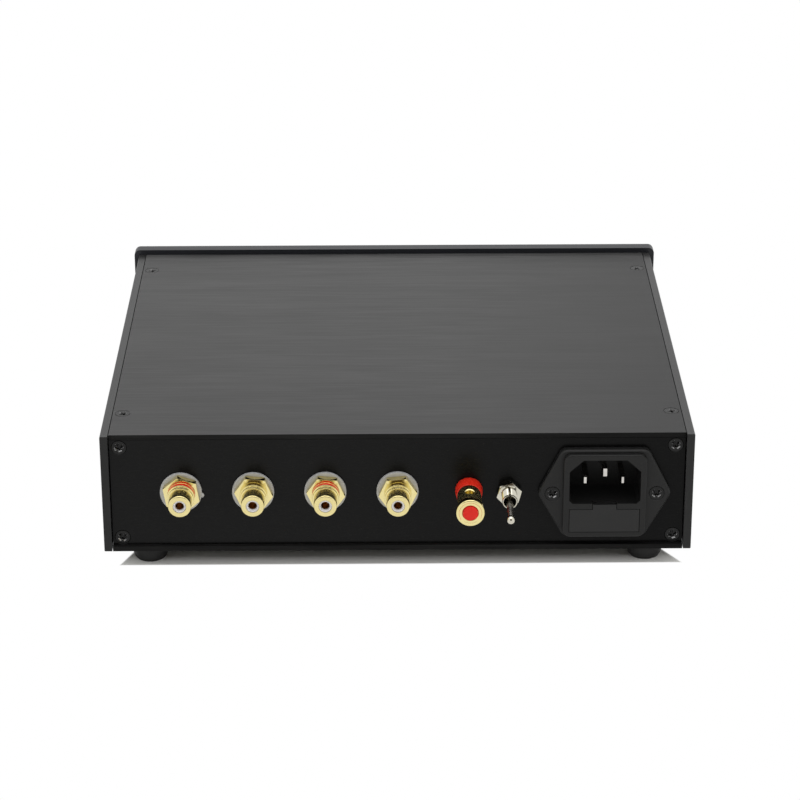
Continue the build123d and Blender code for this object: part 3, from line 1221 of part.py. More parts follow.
def mains_wires():
    """Leads from the inlet to the power switch, from there to the transformer, and to the board."""
    runs = []
    inlet_tail_y = INLET_TAIL_Y - WIRE_GAP
    switch_tab_y = SWITCH_TAB_Y + WIRE_GAP
    lane_x = -HALF_INNER + RAIL_WIDTH + 2 * WIRE_RADIUS
    pin_z = MID_Z + PIN_ROW_LOW
    supply_z = BOARD_TOP_Z + TERMINAL_HEIGHT / 2
    for i, side in enumerate((-1, 1)):
        pin_x = INLET_X + side * PIN_HALF_PITCH
        tab_x = BUTTON_X + side * SWITCH_TAB_OFFSET
        lane = lane_x + i * WIRE_SPREAD
        rear_turn_y = inlet_tail_y - 2 * WIRE_BEND - i * WIRE_SPREAD
        front_turn_y = switch_tab_y + 2 * WIRE_BEND + i * WIRE_SPREAD
        lower_z = MID_Z - SWITCH_TAB_OFFSET
        runs.append(
            wire(
                (pin_x, inlet_tail_y, pin_z),
                (pin_x, rear_turn_y, pin_z),
                (lane, rear_turn_y, pin_z),
                (lane, front_turn_y, lower_z),
                (tab_x, front_turn_y, lower_z),
                (tab_x, switch_tab_y, lower_z),
            )
        )
        upper_z = MID_Z + SWITCH_TAB_OFFSET
        lead_x = TRANSFORMER_X + side * WIRE_SPREAD
        near_y = switch_tab_y + 2 * WIRE_BEND
        runs.append(
            wire(
                (tab_x, switch_tab_y, upper_z),
                (tab_x, near_y, upper_z),
                (lead_x, near_y, supply_z),
                (lead_x, TRANSFORMER_Y - transformer_reach(WIRE_SPREAD), supply_z),
            )
        )
    block_face_x = SUPPLY_TERMINAL_X - TERMINAL_DEPTH / 2 - WIRE_GAP
    for i in (-1, 0, 1):
        offset = i * WIRE_SPREAD
        start = (TRANSFORMER_X + transformer_reach(offset), TRANSFORMER_Y + offset, supply_z)
        runs.append(wire(start, (block_face_x, TRANSFORMER_Y + offset, supply_z)))
    return group(*runs)


# ---------------------------------------------------------------- assembly
parts["left_side_panel"] = side_panel(-1)
parts["right_side_panel"] = side_panel(1)
parts["top_cover"] = top_cover()
parts["bottom_cover"] = bottom_cover()
parts["rear_panel"] = rear_panel()
parts["front_panel"] = front_panel()
cover_screw = flat_screw(COVER_SCREW_LENGTH)
parts["top_cover_screws"] = screw_set(cover_screw, TOP_SCREW_PLACES, SCREW_TURNS)
parts["bottom_cover_screws"] = screw_set(cover_screw, BOTTOM_SCREW_PLACES, SCREW_TURNS)
panel_screw = flat_screw(PANEL_SCREW_LENGTH)
parts["rear_panel_screws"] = screw_set(panel_screw, PANEL_SCREW_PLACES, SCREW_TURNS)
front_screw = flat_screw(FRONT_SCREW_LENGTH)
parts["front_panel_screws"] = screw_set(front_screw, FRONT_SCREW_PLACES, SCREW_TURNS)
parts["rubber_feet"] = group(*at_all(rubber_foot(), FOOT_PLACES))
parts["foot_bolts"] = group(*at_all(foot_bolt(), FOOT_PLACES))

JACK_PLACES = [rear_at(x, JACK_Z) for x in JACK_XS]
for index, place in enumerate(JACK_PLACES):
    shell = rca_shell(JACK_TURNS[index % len(JACK_TURNS)], ringed=index % 2 == 0)
    parts[f"rca_shell_{index + 1}"] = place * shell
parts["rca_red_rings"] = group(*at_all(rca_red_ring(), JACK_PLACES[::2]))
parts["rca_outer_washers"] = group(*at_all(rca_outer_washer(), JACK_PLACES))
parts["rca_inner_washers"] = group(*at_all(rca_inner_washer(), JACK_PLACES))
parts["rca_solder_tags"] = group(*at_all(rca_solder_tag(), JACK_PLACES))
parts["rca_nuts"] = group(*at_all(rca_nut(), JACK_PLACES))
parts["rca_insulators"] = group(*at_all(rca_insulator(), JACK_PLACES))
parts["rca_contacts"] = group(*at_all(rca_contact(), JACK_PLACES))

POST_PLACE = rear_at(POST_X, JACK_Z)
parts["ground_post_base"] = POST_PLACE * ground_post_base()
parts["ground_post_body"] = POST_PLACE * ground_post_body()
parts["ground_post_washer"] = POST_PLACE * ground_post_washer()
parts["ground_post_knob"] = POST_PLACE * ground_post_knob()
parts["ground_post_insert"] = POST_PLACE * ground_post_insert()
parts["ground_post_nut"] = POST_PLACE * ground_post_nut()

TOGGLE_PLACE = rear_at(TOGGLE_X, MID_Z)
parts["toggle_bushing"] = TOGGLE_PLACE * toggle_bushing()
parts["toggle_lever"] = TOGGLE_PLACE * toggle_lever()
parts["toggle_nuts"] = TOGGLE_PLACE * toggle_nuts()
parts["toggle_lock_washer"] = TOGGLE_PLACE * toggle_lock_washer()
parts["toggle_body"] = TOGGLE_PLACE * toggle_body()
parts["toggle_terminals"] = TOGGLE_PLACE * toggle_terminals()

INLET_PLACE = rear_at(INLET_X, MID_Z)
parts["inlet_housing"] = INLET_PLACE * inlet_housing()
parts["inlet_pins"] = INLET_PLACE * inlet_pins()
parts["fuse_drawer"] = INLET_PLACE * fuse_drawer()
parts["fuses"] = INLET_PLACE * fuses()
parts["inlet_screws"] = screw_set(inlet_screw(), inlet_screw_places(), INLET_SCREW_TURNS)
parts["inlet_nuts"] = group(*at_all(inlet_nut(), inlet_screw_places()))

BUTTON_PLACE = front_at(BUTTON_X, MID_Z)
parts["button_bezel"] = BUTTON_PLACE * button_bezel()
parts["button_cap"] = BUTTON_PLACE * button_cap()
parts["button_nut"] = BUTTON_PLACE * button_nut()
parts["button_switch"] = BUTTON_PLACE * button_switch()
LED_PLACE = front_at(LED_X, MID_Z)
parts["led_bezel"] = LED_PLACE * led_bezel()
parts["power_led"] = LED_PLACE * power_led()

parts["main_board"] = main_board()
parts["board_standoffs"] = board_standoffs()
parts["board_screws"] = board_screws()
parts["filter_capacitors"] = filter_capacitors()
parts["film_capacitors"] = film_capacitors()
parts["op_amps"] = op_amps()
parts["power_devices"] = power_devices()
parts["heat_sinks"] = heat_sinks()
parts["terminal_blocks"] = terminal_blocks()
parts["transformer"] = Pos(TRANSFORMER_X, TRANSFORMER_Y, 0) * transformer()
parts["transformer_fixings"] = Pos(TRANSFORMER_X, TRANSFORMER_Y, 0) * transformer_fixings()
parts["signal_wires"] = signal_wires()
parts["mains_wires"] = mains_wires()

for name, shape in parts.items():
    export_step(shape, f"parts/{name}.step")
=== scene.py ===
"""Looks for a phono preamplifier in a flat black aluminium case, seen from its rear.

Metres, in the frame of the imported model: +Z up, the connectors face +Y.
Fittings on the rear panel are worked out in millimetres in their own frame:
a is the viewer's right, b is up and d is the distance out of the panel.
"""

import math

import bmesh
import bpy
import numpy as np
from mathutils import Matrix, Vector


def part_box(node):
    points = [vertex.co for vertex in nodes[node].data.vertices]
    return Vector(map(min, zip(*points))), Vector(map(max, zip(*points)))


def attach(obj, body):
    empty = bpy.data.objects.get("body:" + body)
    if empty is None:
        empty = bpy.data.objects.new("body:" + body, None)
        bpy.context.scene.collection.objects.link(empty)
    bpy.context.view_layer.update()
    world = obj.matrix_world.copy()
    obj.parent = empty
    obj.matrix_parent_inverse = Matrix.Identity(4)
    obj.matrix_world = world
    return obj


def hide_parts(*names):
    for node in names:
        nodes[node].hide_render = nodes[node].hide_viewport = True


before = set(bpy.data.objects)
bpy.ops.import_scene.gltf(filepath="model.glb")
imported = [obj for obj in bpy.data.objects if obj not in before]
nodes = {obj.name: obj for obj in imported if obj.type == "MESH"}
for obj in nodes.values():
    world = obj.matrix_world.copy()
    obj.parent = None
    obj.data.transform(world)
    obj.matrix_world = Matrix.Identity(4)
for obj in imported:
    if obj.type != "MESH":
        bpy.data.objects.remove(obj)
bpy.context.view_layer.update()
MM = 0.001
TAU = 2 * math.pi
FAR = 1.0  # past every piece of the case

BASE_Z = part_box("left_side_panel")[0].z
REAR_END_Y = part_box("left_side_panel")[1].y
PANEL_FACE_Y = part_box("rear_panel")[1].y


def add_object(name, data):
    obj = bpy.data.objects.new(name, data)
    bpy.context.scene.collection.objects.link(obj)
    return obj


# ------------------------------------------------------------------ camera
CAMERA_TURN = (-0.3913, 23.301, 0.1326)  # yaw, pitch and roll in degrees
CAMERA_PLACE = (5.719, 984.104, 487.032)  # mm from the middle of the case's lower rear edge
FOCAL_LENGTH = 127.386  # mm
SENSOR_WIDTH = 36.0  # mm


def plane_turn(angle, first, second):
    """Turn by an angle in degrees in the plane of two axes."""
    turn = np.identity(3)
    turn[first, first] = turn[second, second] = math.cos(math.radians(angle))
    turn[first, second] = math.sin(math.radians(angle))
    turn[second, first] = -turn[first, second]
    return turn


def make_camera():
    """Camera behind the case that looks down at its rear panel through a long lens.

    Its right, down and forward directions start level, facing the panel, and are turned
    by yaw, then pitch, then roll.
    """
    yaw, pitch, roll = CAMERA_TURN
    turn = np.array([[-1.0, 0, 0], [0, 0, -1.0], [0, -1.0, 0]])
    turn = turn @ plane_turn(yaw, 0, 1)
    turn = plane_turn(pitch, 2, 1) @ turn
    turn = plane_turn(roll, 0, 1) @ turn
    right, down, forward = turn
    x, y, z = CAMERA_PLACE
    place = np.identity(4)
    place[:3, :3] = np.column_stack([right, -down, -forward])
    place[:3, 3] = x * MM, y * MM + REAR_END_Y, z * MM + BASE_Z
    data = bpy.data.cameras.new("camera")
    data.sensor_width = SENSOR_WIDTH
    data.lens = FOCAL_LENGTH
    data.clip_start, data.clip_end = 0.05, 50.0
    camera = add_object("camera", data)
    camera.matrix_world = Matrix(place.tolist())
    bpy.context.scene.camera = camera


# ------------------------------------------------------------------ node helpers
FINE_RELIEF = 0.05 * MM
BRUSHED_RELIEF = 0.04 * MM


class Nodes:
    """Short ways to add shader nodes to one material."""

    def __init__(self, name):
        self.material = bpy.data.materials.new(name)
        self.material.use_nodes = True
        self.tree = self.material.node_tree
        self.shader = self.tree.nodes["Principled BSDF"]
        self.coords = self.add("ShaderNodeTexCoord").outputs["Object"]

    def add(self, kind, **values):
        node = self.tree.nodes.new(kind)
        for key, value in values.items():
            setattr(node, key, value)
        return node

    def link(self, out, socket):
        self.tree.links.new(out, socket)

    def set(self, **values):
        """Fixed values for the surface's inputs, with _ for each blank in their names."""
        for key, value in values.items():
            self.shader.inputs[key.replace("_", " ")].default_value = value

    def feed(self, **sources):
        """Sockets that the surface's inputs follow, named in the same way."""
        for key, source in sources.items():
            self.link(source, self.shader.inputs[key.replace("_", " ")])

    def noise(self, scale, stretch=(1, 1, 1), detail=3.0):
        """Noise in object space; a small stretch factor draws it out along that axis."""
        mapping = self.add("ShaderNodeMapping")
        mapping.inputs["Scale"].default_value = stretch
        self.link(self.coords, mapping.inputs["Vector"])
        node = self.add("ShaderNodeTexNoise")
        for key, value in (("Scale", scale), ("Detail", detail), ("Roughness", 0.55)):
            node.inputs[key].default_value = value
        self.link(mapping.outputs["Vector"], node.inputs["Vector"])
        return node.outputs["Fac"]

    def ramp(self, fac, low, high, start=0.3, end=0.7):
        """Number that goes from low to high while fac goes from start to end."""
        node = self.add("ShaderNodeMapRange")
        values = (("From Min", start), ("From Max", end), ("To Min", low), ("To Max", high))
        for key, value in values:
            node.inputs[key].default_value = value
        self.link(fac, node.inputs["Value"])
        return node.outputs["Result"]

    def tint(self, fac, low, high, start=0.3, end=0.7):
        """Colour that goes from low to high while fac goes from start to end."""
        node = self.add("ShaderNodeValToRGB")
        for stop, colour, position in zip(node.color_ramp.elements, (low, high), (start, end)):
            stop.position = position
            stop.color = (*colour, 1)
        self.link(fac, node.inputs["Fac"])
        return node.outputs["Color"]

    def bump(self, height, strength, distance=FINE_RELIEF):
        node = self.add("ShaderNodeBump")
        node.inputs["Strength"].default_value = strength
        node.inputs["Distance"].default_value = distance
        self.link(height, node.inputs["Height"])
        self.feed(Normal=node.outputs["Normal"])

    def math(self, operation, first, second):
        """One arithmetic node; each operand is a socket or a number."""
        node = self.add("ShaderNodeMath", operation=operation)
        for socket, operand in zip(node.inputs, (first, second)):
            if isinstance(operand, (int, float)):
                socket.default_value = operand
            else:
                self.link(operand, socket)
        return node.outputs[0]

    def largest(self, first, *others):
        for other in others:
            first = self.math("MAXIMUM", first, other)
        return first

    def less(self, mask, share):
        """1 where a mask is 0, and lower by that share where it is 1."""
        return self.math("SUBTRACT", 1.0, self.math("MULTIPLY", mask, share))

    def axis(self, name):
        """One object coordinate, in metres."""
        split = self.add("ShaderNodeSeparateXYZ")
        self.link(self.coords, split.inputs[0])
        return split.outputs[name]

    def between(self, name, low, high):
        """1 where that object coordinate lies between two limits, else 0."""
        coordinate = self.axis(name)
        above = self.math("GREATER_THAN", coordinate, low)
        return self.math("MULTIPLY", above, self.math("LESS_THAN", coordinate, high))

    def scaled(self, colour, factor):
        """Colour times a number socket."""
        node = self.add("ShaderNodeVectorMath", operation="SCALE")
        self.link(colour, node.inputs[0])
        self.link(factor, node.inputs["Scale"])
        return node.outputs[0]

    def mix(self, fac, other):
        """Shows another shader node in place of the surface, as far as fac says."""
        node = self.add("ShaderNodeMixShader")
        for socket, source in zip(node.inputs, (fac, self.shader.outputs[0], other.outputs[0])):
            self.link(source, socket)
        self.link(node.outputs[0], self.tree.nodes["Material Output"].inputs["Surface"])


# ------------------------------------------------------------------ materials
SHADED_END_DEPTH = 0.05 * MM  # depth to which the painted shade on a rear end face reaches
RECESS_START = 0.6 * MM  # depth of the plug's recess below the housing's face where the painted shade and glow start
RECESS_HALF_WIDTH = 13.9 * MM
RECESS_LOW, RECESS_HIGH = -3.5 * MM, 15.0 * MM  # from the housing's middle


def grey(value):
    return (value, value, value)


def local_y(node, y):
    """A y of the model's frame in a CAD node's own coordinates."""
    return (nodes[node].matrix_world.inverted() @ Vector((0, y, 0))).y


def surface(name, dark, light, scale, rough, stretch=(1, 1, 1), bump=0.1, metal=0.0, spec=0.5):
    """Material with a streaked or grainy colour, roughness and relief from one noise."""
    m = Nodes(name)
    grain = m.noise(scale, stretch)
    m.feed(Base_Color=m.tint(grain, dark, light), Roughness=m.ramp(grain, *rough))
    m.set(Metallic=metal, Specular_IOR_Level=spec)
    m.bump(grain, bump)
    return m.material


def cover_material():
    """Brushed black cover: fine streaks along the case, a painted sheen that brightens it towards its
    far end, painted shade towards the viewer's right, and painted shade on its rear end face.
    """
    m = Nodes("cover_brushed")
    fine = m.noise(1000, stretch=(0.035, 1, 1), detail=4.0)
    broad = m.noise(95, stretch=(0.05, 1, 1), detail=4.0)
    streaks = m.math("ADD", m.math("MULTIPLY", fine, 0.7), m.math("MULTIPLY", broad, 0.3))
    # Painted shade darkens the cover towards the viewer's right; a painted sheen brightens it towards
    # its far end.
    across = m.ramp(m.axis("X"), low=0.64, high=1.0, start=-0.11, end=-0.02)
    along = m.ramp(m.axis("Y"), low=1.14, high=0.90, start=-0.1, end=0.09)
    streaked = m.tint(streaks, grey(0.0305), grey(0.0615), start=0.38, end=0.62)
    painted_shading = m.scaled(streaked, m.math("MULTIPLY", across, along))
    # Painted shade: the rear end face is darker and less glossy than the top.
    edge = m.between("Y", local_y("top_cover", PANEL_FACE_Y - SHADED_END_DEPTH), FAR)
    painted_shade = m.less(edge, 0.73)
    m.feed(
        Base_Color=m.scaled(painted_shading, painted_shade),
        Roughness=m.ramp(streaks, low=0.48, high=0.60, start=0.36, end=0.64),
        Specular_IOR_Level=m.math("MULTIPLY", painted_shade, 0.25),
    )
    m.bump(fine, 0.2, BRUSHED_RELIEF)
    return m.material


def rear_material():
    """Anodised rear panel, with painted shade that makes it darker and less glossy towards the mains
    inlet.
    """
    m = Nodes("rear_anodised")
    grain = m.noise(700, stretch=(0.4, 1, 1))
    # Painted shade: darker and less glossy towards the mains inlet.
    painted_side_shade = m.ramp(m.axis("X"), low=0.70, high=1.0, start=-0.10, end=0.03)
    m.feed(
        Base_Color=m.scaled(m.tint(grain, grey(0.0037), grey(0.0053)), painted_side_shade),
        Roughness=m.ramp(grain, low=0.22, high=0.30),
        Specular_IOR_Level=m.math("MULTIPLY", painted_side_shade, 0.13),
    )
    m.bump(grain, 0.03)
    return m.material


def side_material():
    """Anodised side panel, with painted shade that darkens its rear end face."""
    m = Nodes("side_anodised")
    grain = m.noise(160, stretch=(1, 0.03, 1))
    # Painted shade on the rear end face.
    edge = m.between("Y", local_y("left_side_panel", REAR_END_Y - SHADED_END_DEPTH), FAR)
    m.feed(
        Base_Color=m.scaled(m.tint(grain, grey(0.021), grey(0.030)), m.less(edge, 0.55)),
        Roughness=m.ramp(grain, low=0.30, high=0.40),
    )
    m.set(Specular_IOR_Level=0.26)
    m.bump(grain, 0.12)
    return m.material


def housing_material():
    """Moulded black plastic, with painted shade and a faint painted glow inside the plug's recess."""
    m = Nodes("moulded_black")
    grain = m.noise(2200)
    x, z = middle("inlet_housing")
    face_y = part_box("inlet_housing")[1].y
    inside = m.between("Y", -FAR, local_y("inlet_housing", face_y - RECESS_START))
    across = m.between("X", x - RECESS_HALF_WIDTH, x + RECESS_HALF_WIDTH)
    inside = m.math("MULTIPLY", inside, across)
    inside = m.math("MULTIPLY", inside, m.between("Z", z + RECESS_LOW, z + RECESS_HIGH))
    # Painted shade: darker and less glossy inside the recess.
    painted_shade = m.less(inside, 0.35)
    m.feed(
        Base_Color=m.scaled(m.tint(grain, grey(0.0115), grey(0.0155)), painted_shade),
        Roughness=m.ramp(grain, low=0.32, high=0.42),
        Specular_IOR_Level=m.math("MULTIPLY", painted_shade, 0.20),
        # Faint painted glow inside the recess.
        Emission_Strength=m.math("MULTIPLY", inside, 0.0011),
    )
    m.set(Emission_Color=(1, 1, 1, 1))
    m.bump(grain, 0.2)
    return m.material


GOLD = dict(dark=(0.78, 0.67, 0.31), light=(0.83, 0.72, 0.35), scale=500, bump=0.02, metal=1.0)
PLAIN_LOOKS = {
    "front_anodised": dict(
        dark=(0.013, 0.014, 0.017), light=(0.020, 0.021, 0.025), scale=200, rough=(0.34, 0.44),
        stretch=(0.03, 1, 1), bump=0.12, spec=0.26,
    ),
    "gold_plate": dict(rough=(0.08, 0.11), **GOLD),
    "barrel_gold": dict(rough=(0.21, 0.26), **GOLD),
    "post_gold": dict(rough=(0.22, 0.28), **GOLD),
    "contact_gold": dict(
        dark=(0.66, 0.42, 0.17), light=(0.76, 0.50, 0.22), scale=700, rough=(0.25, 0.35),
        bump=0.05, metal=1.0,
    ),
    "nickel_plate": dict(
        dark=(0.56, 0.54, 0.45), light=(0.64, 0.61, 0.52), scale=700, rough=(0.14, 0.20),
        bump=0.03, metal=1.0,
    ),
    # A darker copy of the nickel plate for the lever's shaft, as painted shade; its ball end keeps the
    # brighter plate.
    "lever_nickel_painted_shade": dict(
        dark=(0.35, 0.335, 0.30), light=(0.44, 0.42, 0.38), scale=700, rough=(0.24, 0.30),
        bump=0.03, metal=1.0,
    ),
    "nickel_blade": dict(
        dark=(0.55, 0.53, 0.50), light=(0.68, 0.66, 0.62), scale=500, rough=(0.08, 0.16),
        bump=0.05, metal=1.0,
    ),
    "zinc_steel": dict(
        dark=(0.45, 0.45, 0.43), light=(0.6, 0.6, 0.58), scale=500, rough=(0.25, 0.4),
        bump=0.08, metal=1.0,
    ),
    # Bright steel on the recess walls: worn plating and painted glints.
    "worn_steel_and_glint": dict(
        dark=grey(0.38), light=grey(0.62), scale=1500, rough=(0.22, 0.36), metal=1.0
    ),
    # A dimmer copy of the same, for screws whose painted glints are weaker.
    "worn_steel_and_dim_glint": dict(
        dark=grey(0.10), light=grey(0.22), scale=1500, rough=(0.30, 0.45), metal=1.0
    ),
    "blackened_steel": dict(
        dark=grey(0.006), light=grey(0.010), scale=900, rough=(0.22, 0.32), bump=0.05, spec=0.22
    ),
    "dark_aluminium": dict(
        dark=grey(0.02), light=grey(0.035), scale=500, rough=(0.25, 0.36), bump=0.08, metal=0.5
    ),
    "red_plastic": dict(
        dark=(0.64, 0.022, 0.009), light=(0.72, 0.030, 0.014), scale=500, rough=(0.22, 0.32),
        bump=0.03, spec=0.35,
    ),
    "red_insert": dict(
        dark=(0.68, 0.018, 0.010), light=(0.76, 0.026, 0.016), scale=500, rough=(0.45, 0.55),
        bump=0.03, spec=0.2,
    ),
    "grey_washer": dict(
        dark=grey(0.42), light=grey(0.48), scale=400, rough=(0.3, 0.4), bump=0.05
    ),
    "white_sleeve": dict(
        dark=(0.62, 0.60, 0.59), light=(0.72, 0.70, 0.69), scale=600, rough=(0.35, 0.45), bump=0.05
    ),
    "moulded_parts": dict(
        dark=grey(0.008), light=grey(0.012), scale=2200, rough=(0.34, 0.46), bump=0.2, spec=0.4
    ),
    "drawer_black": dict(
        dark=grey(0.0095), light=grey(0.0135), scale=2200, rough=(0.34, 0.46), bump=0.2, spec=0.32
    ),
    "black_rubber": dict(
        dark=grey(0.012), light=grey(0.018), scale=1500, rough=(0.55, 0.7), bump=0.25, spec=0.25
    ),
    "frosted_lens": dict(
        dark=(0.55, 0.6, 0.68), light=(0.66, 0.7, 0.78), scale=600, rough=(0.15, 0.25), bump=0.05
    ),
    "board_lacquer": dict(
        dark=(0.008, 0.05, 0.022), light=(0.014, 0.085, 0.035), scale=120, rough=(0.2, 0.35)
    ),
    "capacitor_sleeve": dict(
        dark=(0.01, 0.014, 0.04), light=(0.016, 0.02, 0.06), scale=300, rough=(0.22, 0.32), bump=0.05
    ),
    "film_coating": dict(
        dark=(0.35, 0.03, 0.02), light=(0.45, 0.05, 0.03), scale=300, rough=(0.3, 0.4)
    ),
    "terminal_green": dict(
        dark=(0.02, 0.12, 0.05), light=(0.03, 0.16, 0.07), scale=800, rough=(0.35, 0.45)
    ),
    "winding_tape": dict(
        dark=(0.30, 0.17, 0.02), light=(0.5, 0.3, 0.05), scale=90, rough=(0.2, 0.35),
        stretch=(1, 1, 6), bump=0.3,
    ),
    "wire_sheath": dict(dark=grey(0.03), light=grey(0.05), scale=800, rough=(0.4, 0.5)),
    "fuse_glass": dict(
        dark=(0.6, 0.65, 0.65), light=(0.75, 0.8, 0.8), scale=300, rough=(0.05, 0.12), bump=0.02
    ),
}

NODE_MATERIALS = {
    "cover_brushed": ("top_cover", "bottom_cover"),
    "rear_anodised": ("rear_panel",),
    "side_anodised": ("left_side_panel", "right_side_panel"),
    "front_anodised": ("front_panel",),
    "gold_plate": (
        *(f"rca_shell_{number}" for number in range(1, 5)),
        "rca_contacts", "rca_nuts", "rca_solder_tags",
        "ground_post_body", "ground_post_washer", "ground_post_knob",
    ),
    "nickel_plate": (
        "toggle_nuts", "toggle_lock_washer", "toggle_bushing", "toggle_lever", "toggle_terminals",
    ),
    "blackened_steel": (
        "top_cover_screws", "bottom_cover_screws", "rear_panel_screws", "front_panel_screws",
        "inlet_screws",
    ),
    "red_plastic": ("rca_red_rings", "ground_post_base", "ground_post_insert"),
    "grey_washer": ("rca_outer_washers", "rca_inner_washers"),
    "white_sleeve": ("rca_insulators",),
    "moulded_parts": ("toggle_body", "button_switch", "op_amps", "power_devices"),
    "moulded_black": ("inlet_housing",),
    "drawer_black": ("fuse_drawer",),
    "nickel_blade": ("inlet_pins",),
    "black_rubber": ("rubber_feet",),
    "zinc_steel": (
        "foot_bolts", "ground_post_nut", "inlet_nuts", "board_screws", "board_standoffs",
        "transformer_fixings", "button_nut",
    ),
    "dark_aluminium": ("button_bezel", "button_cap", "led_bezel", "heat_sinks"),
    "frosted_lens": ("power_led",),
    "board_lacquer": ("main_board",),
    "capacitor_sleeve": ("filter_capacitors",),
    "film_coating": ("film_capacitors",),
    "terminal_green": ("terminal_blocks",),
    "winding_tape": ("transformer",),
    "wire_sheath": ("signal_wires", "mains_wires"),
    "fuse_glass": ("fuses",),
}


def make_materials():
    made = {name: surface(name, **look) for name, look in PLAIN_LOOKS.items()}
    made["cover_brushed"] = cover_material()
    made["rear_anodised"] = rear_material()
    made["side_anodised"] = side_material()
    made["moulded_black"] = housing_material()
    return made


def paint_nodes(materials):
    for key, names in NODE_MATERIALS.items():
        for name in names:
            mesh = nodes[name].data
            mesh.materials.clear()
            mesh.materials.append(materials[key])


# ------------------------------------------------------------------ mesh helpers
def soften(points, radius, steps=4):
    """Rounds every corner of an open profile by an arc of at most that radius.

    At each corner P1 two tangent points P0 and P2 lie at that distance along its edges,
    limited to 45% of each edge. The circular arc between them is the weighted mean of P0,
    P1 and P2 with weights (1 - t)^2, 2 w t (1 - t) and t^2, where w is the sine of half
    the corner's angle.
    """
    pts = [np.array(p, float) for p in points]
    out = [pts[0]]
    for before, corner, after in zip(pts, pts[1:], pts[2:]):
        to_before, to_after = before - corner, after - corner
        la, lb = np.linalg.norm(to_before), np.linalg.norm(to_after)
        reach = min(radius, 0.45 * la, 0.45 * lb)
        corner_angle = math.acos(np.clip(to_before @ to_after / (la * lb), -1, 1))
        weight = math.sin(corner_angle / 2)
        start = corner + to_before / la * reach
        end = corner + to_after / lb * reach
        for k in range(steps + 1):
            t = k / steps
            ends, bend = ((1 - t) ** 2, t**2), 2 * weight * t * (1 - t)
            point = ends[0] * start + bend * corner + ends[1] * end
            out.append(point / (ends[0] + bend + ends[1]))
    out.append(pts[-1])
    return out


def placer(origin, a, b, d):
    """Turns (a, b, d) in millimetres into the model's frame, given a point and the three directions."""
    axes = np.array([a, b, d], float) * MM
    start = np.array(origin, float)
    return lambda v: start + v @ axes


def to_panel(x, z):
    """Placing about a point of the rear panel's outer face, as seen from behind the case."""
    return placer((x, PANEL_FACE_Y, z), (-1, 0, 0), (0, 0, 1), (0, 1, 0))


def off_centre(place, shift, above):
    """Placing that moves everything past a distance from the panel by a and b in millimetres."""
    move = np.array([*shift, 0.0])
    return lambda v: place(v + np.where(v[:, 2:] > above, move, 0.0))


def add_mesh(name, parts, materials, node, body="chassis", sharp=32):
    """Makes one object that stands for a CAD node, from parts of (points, faces, material number).

    Points are in the model's frame. Seams between grids are closed by merging equal points.
    Normals point outward, and edges over the sharp angle stay sharp.
    """
    counts = [len(points) for points, _, _ in parts]
    starts = np.cumsum(counts) - counts
    vertices = np.concatenate([points for points, _, _ in parts])
    faces = np.concatenate([quads + start for (_, quads, _), start in zip(parts, starts)])
    numbers = np.repeat([number for _, _, number in parts], [len(quads) for _, quads, _ in parts])
    mesh = bpy.data.meshes.new(name)
    mesh.from_pydata(vertices.tolist(), [], faces.tolist())
    for material in materials:
        mesh.materials.append(material)
    mesh.polygons.foreach_set("material_index", numbers.astype(np.int32))
    bm = bmesh.new()
    bm.from_mesh(mesh)
    bmesh.ops.remove_doubles(bm, verts=bm.verts, dist=2e-7)
    bmesh.ops.dissolve_degenerate(bm, edges=bm.edges, dist=1e-8)
    bmesh.ops.recalc_face_normals(bm, faces=bm.faces)
    bm.to_mesh(mesh)
    bm.free()
    mesh.polygons.foreach_set("use_smooth", [True] * len(mesh.polygons))
    mesh.set_sharp_from_angle(angle=math.radians(sharp))
    obj = add_object(name, mesh)
    normals = obj.modifiers.new("weighted_normals", "WEIGHTED_NORMAL")
    normals.keep_sharp = True
    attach(obj, body)
    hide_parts(node)


def grid_faces(rows, columns, close_rows=False, close_columns=True):
    """Quads of a grid of points, closed round either way where asked."""
    row_starts = np.arange(rows if close_rows else rows - 1)
    column_starts = np.arange(columns if close_columns else columns - 1)
    i, j = (index.ravel() for index in np.meshgrid(row_starts, column_starts, indexing="ij"))
    k, n = (j + 1) % columns, (i + 1) % rows
    corners = [i * columns + j, i * columns + k, n * columns + k, n * columns + j]
    return np.stack(corners, axis=1)


def round_angles(count):
    """Angles spaced evenly round a circle."""
    return np.linspace(0, TAU, count, endpoint=False)


def turned(profile, segments=96):
    """Surface of revolution about d: (a, b, d) = (r cos t, r sin t, d) for each (r, d) of the profile.

    A profile that starts on the axis ends there too; any other one is closed to a ring.
    """
    rows = np.array(profile, float)
    angles = round_angles(segments)
    a = rows[:, :1] * np.cos(angles)
    b = rows[:, :1] * np.sin(angles)
    d = np.repeat(rows[:, 1:], segments, axis=1)
    vertices = np.stack([a, b, d], axis=2).reshape(-1, 3)
    return vertices, grid_faces(len(rows), segments, rows[0, 0] > 1e-6)


def hex_ring(flats, bore, low, high, turn, face_radius, segments=120, edge=0.12):
    """Hexagonal nut about d with its corners cut back by a 30 degree cone.

    The hexagon's radius at angle t is flats / 2 / cos(t from the middle of its flat). Where it
    passes face_radius, the end face is left at face_radius and the side starts lower by
    (radius - face_radius) * tan 30.
    """
    angles = round_angles(segments)
    from_flat = np.degrees(angles) % 60 - 30
    radius = flats / 2 / np.cos(np.radians(from_flat))
    cut = np.maximum(radius - face_radius, 0) * math.tan(math.radians(30))
    face = np.minimum(radius, face_radius) - edge * 0.5
    ones = np.ones(segments)
    rows = [
        (bore * ones, low * ones),
        (face, low * ones),
        (radius, low + cut + edge * 0.4),
        (radius, high - cut - edge * 0.4),
        (face, high * ones),
        (bore * ones, high * ones),
    ]
    t = angles + math.radians(turn)
    vertices = [np.stack([r * np.cos(t), r * np.sin(t), d], axis=1) for r, d in rows]
    return np.concatenate(vertices), grid_faces(len(rows), segments, True)


